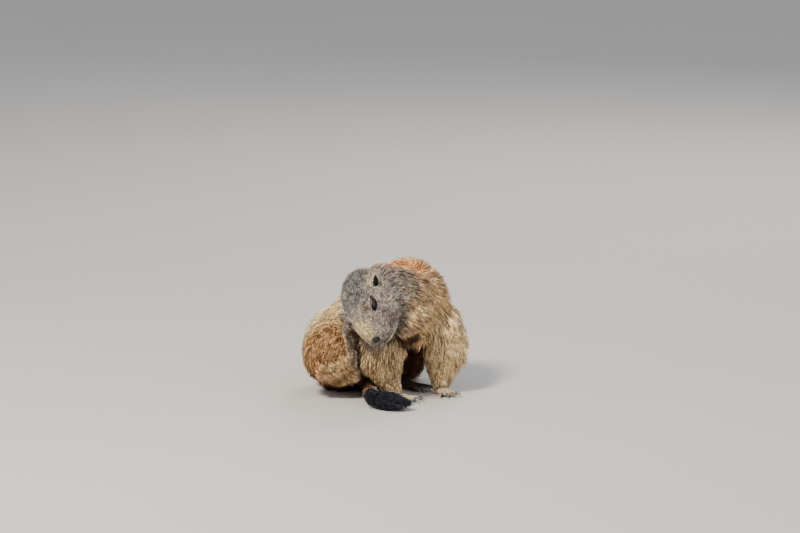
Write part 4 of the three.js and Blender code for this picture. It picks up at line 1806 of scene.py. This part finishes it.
@dataclass(frozen=True)
class Markings:
    """The colours of the whole animal, the same on skin and coat, with painted shade in its hollows and near
    the floor and a painted highlight on the rump.
    """

    back_dark: str = "B9895A"
    back_light: str = "F2D4A4"
    patches: tuple[Marking, ...] = (
        # Painted highlight: the top of the rump painted paler, as if lit.
        Marking("FFE2AC", (-86, 20, 104), (60, 72, 58), core=0.45),
        Marking("EBC28C", (55, 4, 108), (80, 70, 66), core=0.45),
        Marking("F0A662", (22, 4, 188), (64, 54, 42), core=0.45, ragged=0.4),
        Marking("8A7E78", (8, -50, 164), (56, 38, 34), core=0.35, strength=0.95, ragged=0.45),
        Marking("A8937C", (22, -62, 146), (38, 30, 22), core=0.3, strength=0.8, ragged=0.4),
        Marking("CC9760", (-84, -30, 60), (54, 52, 56), core=0.6, ragged=0.4),
        Marking("B5834F", (-58, -46, 40), (34, 34, 34), core=0.5, ragged=0.4),
        # Painted shade under the right thigh, near the floor.
        Marking("6B472A", (-84, -30, 6), (60, 60, 30), core=0.5, strength=0.9),
        # Painted shade under the whole body, near the floor.
        Marking("4A301D", (-30, 30, 0), (125, 105, 32), core=0.5),
        # The belly's own darker fur, with painted shade added where it lies behind the forelegs.
        Marking("6A4430", (40, 44, 44), (46, 60, 60), core=0.6, strength=0.97),
        Marking("F2D29C", (-2, -40, 56), (36, 42, 66), core=0.65),
        Marking("FFE0AC", (90, -4, 60), (38, 44, 70), core=0.65),
        # Painted shade in the hollow under the cheek, between the neck and the right upper arm.
        Marking("4A2D1B", (32, -34, 82), (24, 40, 24), core=0.5, strength=0.97),
        Marking("E9D3AC", (20, -66, 6), (30, 26, 16), core=0.7),
        Marking("E9D3AC", (82, -24, 6), (28, 30, 16), core=0.7),
        Marking("C8A880", (-42, -50, 66), (16, 18, 40), core=0.6),
        # Painted shade under the chest, between the forelegs near the floor.
        Marking("5A4030", (34, 20, 6), (46, 46, 18), core=0.6),
        # Painted shade under the raised right thigh, near the floor.
        Marking("4A3322", (-20, -30, 12), (26, 62, 24), core=0.6),
        Marking("30333D", (2, -116, 14), (66, 44, 38), core=0.74),
        Marking("A0958A", (-52, 0, 0), (84, 62, 58), Space.HEAD, core=0.74, ragged=0.3),
        Marking("B59C7A", (-60, 0, -32), (38, 42, 20), Space.HEAD, core=0.35, ragged=0.4),
        Marking("797778", (-72, 0, 38), (50, 46, 30), Space.HEAD, core=0.5, ragged=0.4),
        Marking("DEC89C", (-20, -4, 12), (34, 21, 22), Space.HEAD, core=0.5),
        Marking("DED2BA", (-22, 0, -27), (28, 20, 11), Space.HEAD, core=0.6),
        *both_sides(Marking("E2D2AC", (-74, 38, 22), (14, 12, 14), Space.HEAD, core=0.7)),
        *both_sides(Marking("B4B4BA", (-48, 29, 12), (12, 9, 9), Space.HEAD, 0.3, strength=0.6, ragged=0.4)),
        *both_sides(Marking("6E5646", (-33, 19, 27), (12, 8, 7), Space.HEAD, core=0.3, strength=0.7)),
    )

    def colour(self, shader: Shader) -> Wire:
        """The colour of the animal at a point, its painted shade and painted highlight included.

        Args:
            shader: the material in the making.

        Returns:
            The colour.
        """
        ruffle = shader.noise(0.012, 3.0)
        broad = shader.noise(0.03, 3.0)
        colour = shader.mix(broad.rise(0.3, 0.7), linear(self.back_dark), linear(self.back_light))
        for patch in self.patches:
            colour = shader.mix(patch.share(shader, ruffle), colour, linear(patch.colour))
        for eye in EYES:
            centre = eye.to_pose((0, 0, eye.ball * 0.6))
            share = placed_share(shader, centre, HEAD.axes @ eye.axes, (12.5, 5.6, 9), 0.74)
            colour = shader.mix(share, colour, linear("1D1613"))
        # Painted shade in each ear's hollow.
        for ear in EARS:
            centre = ear.to_pose((1.5, ear.side * 1.2, ear.rise - 2.6))
            share = placed_share(shader, centre, HEAD.axes @ ear.axes, (9.0, 5.6, 11.6), 0.78)
            colour = shader.mix(share, colour, linear("2A211C"))
        for side in (1, -1):
            for back in (5.0, 12.0, 19.0, 26.0):
                lip = np.array((-back, side * (4.5 + 0.58 * back), 0.0))
                lip[2] = mouth_line(lip[None])[0]
                share = placed_share(shader, HEAD.to_pose(lip), HEAD.axes, (7.0, 6.0, 2.3), 0.5)
                colour = shader.mix(share, colour, linear("1C1410"))
        centre = RAISED_FOOT.to_pose((RAISED_FOOT.sole[0] * 0.72, 0, 0.5))
        radii = (RAISED_FOOT.sole[0] * 0.85, RAISED_FOOT.sole[1] * 0.66, 7.5)
        share = placed_share(shader, centre, RAISED_FOOT.axes, radii, 0.75)
        colour = shader.mix(share, colour, linear("8C7A69"))
        fleck = shader.noise(0.0024, 2.0)
        return shader.scaled(colour, (0.86 + 0.28 * ruffle) * (0.52 + 0.96 * fleck.rise(0.28, 0.72)))


@dataclass(frozen=True)
class CoatFinish:
    """Hair: darker at the root as painted shade among the hairs, then its colour, with some pale and some
    dark tips.
    """

    # Brightness at each tuft's root: painted shade where the hairs crowd and shade one another.
    root: float = 0.24
    pale: str = "F6DFB2"
    dark: str = "3B2C20"
    roughness: float = 0.62

    def material(self) -> bpy.types.Material:
        """Makes the material of every piece of the coat.

        Returns:
            The material.
        """
        shader = Shader("fur")
        strand, seed = shader.attribute("strand"), shader.attribute("seed")
        colour = Markings().colour(shader)
        light = shader.brightness(colour).rise(0.04, 0.26)
        # Painted shade rising from dark at the root, times a random tone for each tuft.
        tone = (self.root + (1 - self.root) * strand.rise(0.08, 0.64)) * (0.38 + 1.28 * seed.rise(0.12, 0.88))
        colour = shader.scaled(colour, tone)
        pale = seed.rise(0.52, 0.72) * strand.rise(0.4, 0.85) * light * 0.62
        colour = shader.mix(pale, colour, linear(self.pale))
        dark = seed.fall(0.28, 0.44) * strand.rise(0.4, 0.9) * 0.75
        colour = shader.mix(dark, colour, shader.mix(0.3, linear(self.dark), colour))
        return shader.finish(Base_Color=colour, Roughness=self.roughness, Specular_IOR_Level=0.25)


@dataclass(frozen=True)
class SkinFinish:
    """Skin under the coat, painted darker as the shade under the hair, with bare pads, nose and lips."""

    roughness: float = 0.75

    def material(self) -> bpy.types.Material:
        """Makes the skin's material.

        Returns:
            The material.
        """
        shader = Shader("skin")
        hair = shader.noise(0.0009, 4.0)
        # The markings darkened and grained by a fine hair noise: painted shade under the coat.
        colour = shader.scaled(Markings().colour(shader), 0.42 + 0.34 * hair)
        mouth = placed_share(shader, HEAD.to_pose((-17, 0, -15.6)), HEAD.axes, (21, 24, 4.0), 0.7)
        colour = shader.mix(mouth, colour, linear("33241D"))
        nose = placed_share(shader, HEAD.to_pose((-2.2, 0, -0.9)), HEAD.axes, (5.8, 7.2, 6.0), 0.84)
        colour = shader.mix(nose, colour, linear("272324"))
        bare = nose
        for foot in FEET:
            centre = foot.to_pose((foot.sole[0] * 0.72, 0, 0.5))
            radii = (foot.sole[0] * 0.8, foot.sole[1] * 0.62, 5.6)
            sole = placed_share(shader, centre, foot.axes, radii, 0.8)
            pads = shader.mix(hair.rise(0.3, 0.7), linear("4A3C32"), linear("94826F"))
            colour = shader.mix(sole, colour, pads)
            bare = shader.math("MAXIMUM", bare, sole)
        grain = shader.noise(0.0007, 2.0)
        rough = 0.8 - 0.38 * bare + 0.1 * grain
        normal = shader.bump(hair * (1 - bare) + grain * bare * 0.5, 0.6, 0.0006)
        return shader.finish(Base_Color=colour, Roughness=rough, Normal=normal)


@dataclass(frozen=True)
class EyeFinish:
    """A wet dark-brown eye with a black pupil."""

    iris: str = "2A1A10"
    ball: str = "120D0A"

    def material(self, eye: Eye) -> bpy.types.Material:
        """Makes the material of one eye.

        Args:
            eye: the eye in question.

        Returns:
            The material.
        """
        shader = Shader("eye_left" if eye.side > 0 else "eye_right")
        centre = eye.to_pose((0, 0, eye.ball))
        iris = placed_share(shader, centre, HEAD.axes @ eye.axes, (4.9, 4.9, 4.9), 0.8)
        pupil = placed_share(shader, centre, HEAD.axes @ eye.axes, (2.7, 2.7, 2.7), 0.85)
        streak = shader.noise(0.0008, 3.0)
        colour = shader.mix(iris, linear(self.ball), shader.mix(streak, linear(self.ball), linear(self.iris)))
        colour = shader.mix(pupil, colour, linear("030303"))
        return shader.finish(Base_Color=colour, Roughness=0.16, Coat_Weight=0.3, Coat_Roughness=0.12)


@dataclass(frozen=True)
class HornFinish:
    """Grey horn, paler to the tip and lined along its length."""

    root: str = "4A4542"
    tip: str = "A39C92"

    def material(self) -> bpy.types.Material:
        """Makes the claws' material.

        Returns:
            The material.
        """
        shader = Shader("horn")
        broad, fine = shader.noise(0.006, 3.0), shader.noise(0.0008, 3.0)
        colour = shader.mix(broad.rise(0.35, 0.65), linear(self.root), linear(self.tip))
        colour = shader.scaled(colour, 0.82 + 0.3 * fine)
        lines = shader.bump(fine, 0.3, 0.0003)
        return shader.finish(Base_Color=colour, Roughness=0.34 + 0.15 * fine, Normal=lines)


@dataclass(frozen=True)
class WhiskerFinish:
    """Dark stiff hair, lighter where it thins."""

    colour: str = "2B2320"

    def material(self) -> bpy.types.Material:
        """Makes the whiskers' material."""
        shader = Shader("whisker")
        tone = shader.mix(shader.noise(0.01, 1.0), linear(self.colour), linear("7A6A58"))
        return shader.finish(Base_Color=tone, Roughness=0.4)


@dataclass(frozen=True)
class FloorFinish:
    """A plain pale floor, faintly uneven."""

    colour: str = "CFCBC4"

    def material(self) -> bpy.types.Material:
        """Makes the floor's material.

        Returns:
            The material.
        """
        shader = Shader("floor")
        cloud = shader.noise(0.6, 2.0)
        colour = shader.scaled(linear(self.colour)[:3], 0.97 + 0.06 * cloud)
        return shader.finish(Base_Color=colour, Roughness=0.85)


@dataclass(frozen=True)
class Studio:
    """The camera where the photographer stood, soft lights and the floor."""

    aim: tuple[float, float, float] = (21.0, -34.4, 185.3)
    distance: float = 5600.0
    elevation_deg: float = 10.0
    lens: float = 180.0
    sensor: float = 36.0

    def camera(self) -> None:
        """Sets the camera at the photograph's angle and framing."""
        tilt = math.radians(self.elevation_deg)
        aim = np.array(self.aim)
        place = POSE.to_row(aim + self.distance * np.array((0, -math.cos(tilt), math.sin(tilt))))
        data = bpy.data.cameras.new("camera")
        data.lens, data.sensor_width, data.clip_end = self.lens, self.sensor, 100.0
        camera = bpy.data.objects.new("camera", data)
        camera.location = place
        camera.rotation_euler = (math.pi / 2 - tilt, 0, 0)
        bpy.context.scene.collection.objects.link(camera)
        bpy.context.scene.camera = camera

    @staticmethod
    def light(name: str, place: tuple[float, float, float], size: float, power: float, tone: str) -> None:
        """Adds a soft area light that points at the animal.

        Args:
            name: its name.
            place: metres.
            size: how wide it is, in metres.
            power: watts.
            tone: its colour.
        """
        data = bpy.data.lights.new(name, "AREA")
        data.shape, data.size, data.energy = "DISK", size, power
        data.color = linear(tone)[:3]
        lamp = bpy.data.objects.new(name, data)
        lamp.location = place
        lamp.rotation_euler = (Vector((0, 0, 0.09)) - Vector(place)).to_track_quat("-Z", "Y").to_euler()
        bpy.context.scene.collection.objects.link(lamp)

    def floor(self) -> None:
        """Lays the floor."""
        bm = bmesh.new()
        bmesh.ops.create_grid(bm, x_segments=8, y_segments=8, size=14.0)
        floor = object_from(bm, "floor")
        floor.data.materials.append(FloorFinish().material())
        floor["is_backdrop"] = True

    def set_up(self) -> None:
        """Sets up everything around the animal."""
        self.camera()
        self.floor()
        self.light("key", (-1.2, -1.5, 2.3), 0.75, 108.0, "FFF6E8")
        self.light("fill", (2.2, -1.8, 1.3), 2.2, 26.0, "EEF3FF")
        self.light("rim", (0.8, 2.2, 1.9), 1.6, 34.0, "FFFFFF")
        world = bpy.data.worlds.new("studio")
        world.use_nodes = True
        sky = world.node_tree.nodes["Background"]
        sky.inputs["Color"].default_value = (0.86, 0.9, 1.0, 1.0)
        sky.inputs["Strength"].default_value = 0.55
        bpy.context.scene.world = world


SLOTS = {
    Region.FACE: "face_fur",
    Region.NECK: "neck_fur",
    Region.SHOULDERS: "trunk_fur",
    Region.FLANKS: "trunk_fur",
    Region.RUMP: "trunk_fur",
    Region.RIGHT_FORELEG: "foreleg_fur",
    Region.LEFT_FORELEG: "foreleg_fur",
    Region.RIGHT_THIGH: "hindleg_fur",
    Region.LEFT_THIGH: "hindleg_fur",
    Region.FEET: "paw",
    Region.TAIL: "tail_tip",
}


@dataclass
class Marmot:
    """The whole animal: skin, eyes, claws, whiskers and coat, dressed and set on the frame."""

    flesh: tuple[str, ...] = (
        "nose", "jaw", "head", "ear_left", "ear_right", "neck", "thorax", "abdomen", "rump",
        "upper_arm_right", "forearm_right", "upper_arm_left", "forearm_left",
        "thigh_right", "shank_right", "thigh_left", "shank_left", "tail_base", "tail_tip",
    )

    def build(self) -> None:
        """Builds every piece in order and reports it."""
        skin = Skin().build()
        self._set(skin, SkinFinish().material(), "trunk_fur", self.flesh + tuple(foot.name for foot in FEET))
        for eye in EYES:
            node = "eye_left" if eye.side > 0 else "eye_right"
            self._set(Eyeball(eye).build(), EyeFinish().material(eye), "eye", (node,))
        horn = HornFinish().material()
        for foot in FEET:
            nodes = tuple(f"{foot.name}_claw_{number + 1}" for number in range(foot.toes))
            self._set(Claws(foot).build(), horn, "claw", nodes)
        dark_hair = WhiskerFinish().material()
        for side in (1, -1):
            self._set(Whiskers(side).build(), dark_hair, "face_fur")
        fur = CoatFinish().material()
        places = {place.value: slot for place, slot in SLOTS.items()}
        for piece in Coat().grow(skin):
            place = piece.name.removeprefix("coat_").rsplit("_", 2)[0]
            self._set(piece, fur, places[place])

    @staticmethod
    def _set(
        piece: bpy.types.Object,
        finish: bpy.types.Material,
        slot: str,
        nodes: tuple[str, ...] = (),
    ) -> None:
        """Gives a piece its material and body, and hides the solids it stands for.

        Args:
            piece: the object.
            finish: its material.
            slot: not used.
            nodes: the solids that it stands for.
        """
        piece.data.materials.clear()
        piece.data.materials.append(finish)
        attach(piece, BODY)
        if nodes:
            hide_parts(*nodes)
        log.info("%s: %d faces", piece.name, len(piece.data.polygons))


def main() -> None:
    """Builds the marmot and its studio, and measures how large it came out."""
    logging.basicConfig(level=logging.INFO, format="%(relativeCreated)d %(message)s")
    Studio().set_up()
    Marmot().build()
    sizes = {"cad": CAD_BOX, "visual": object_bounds()}
    plain = {name: [[float(v) for v in corner] for corner in box] for name, box in sizes.items()}


if __name__ == "__main__":
    main()
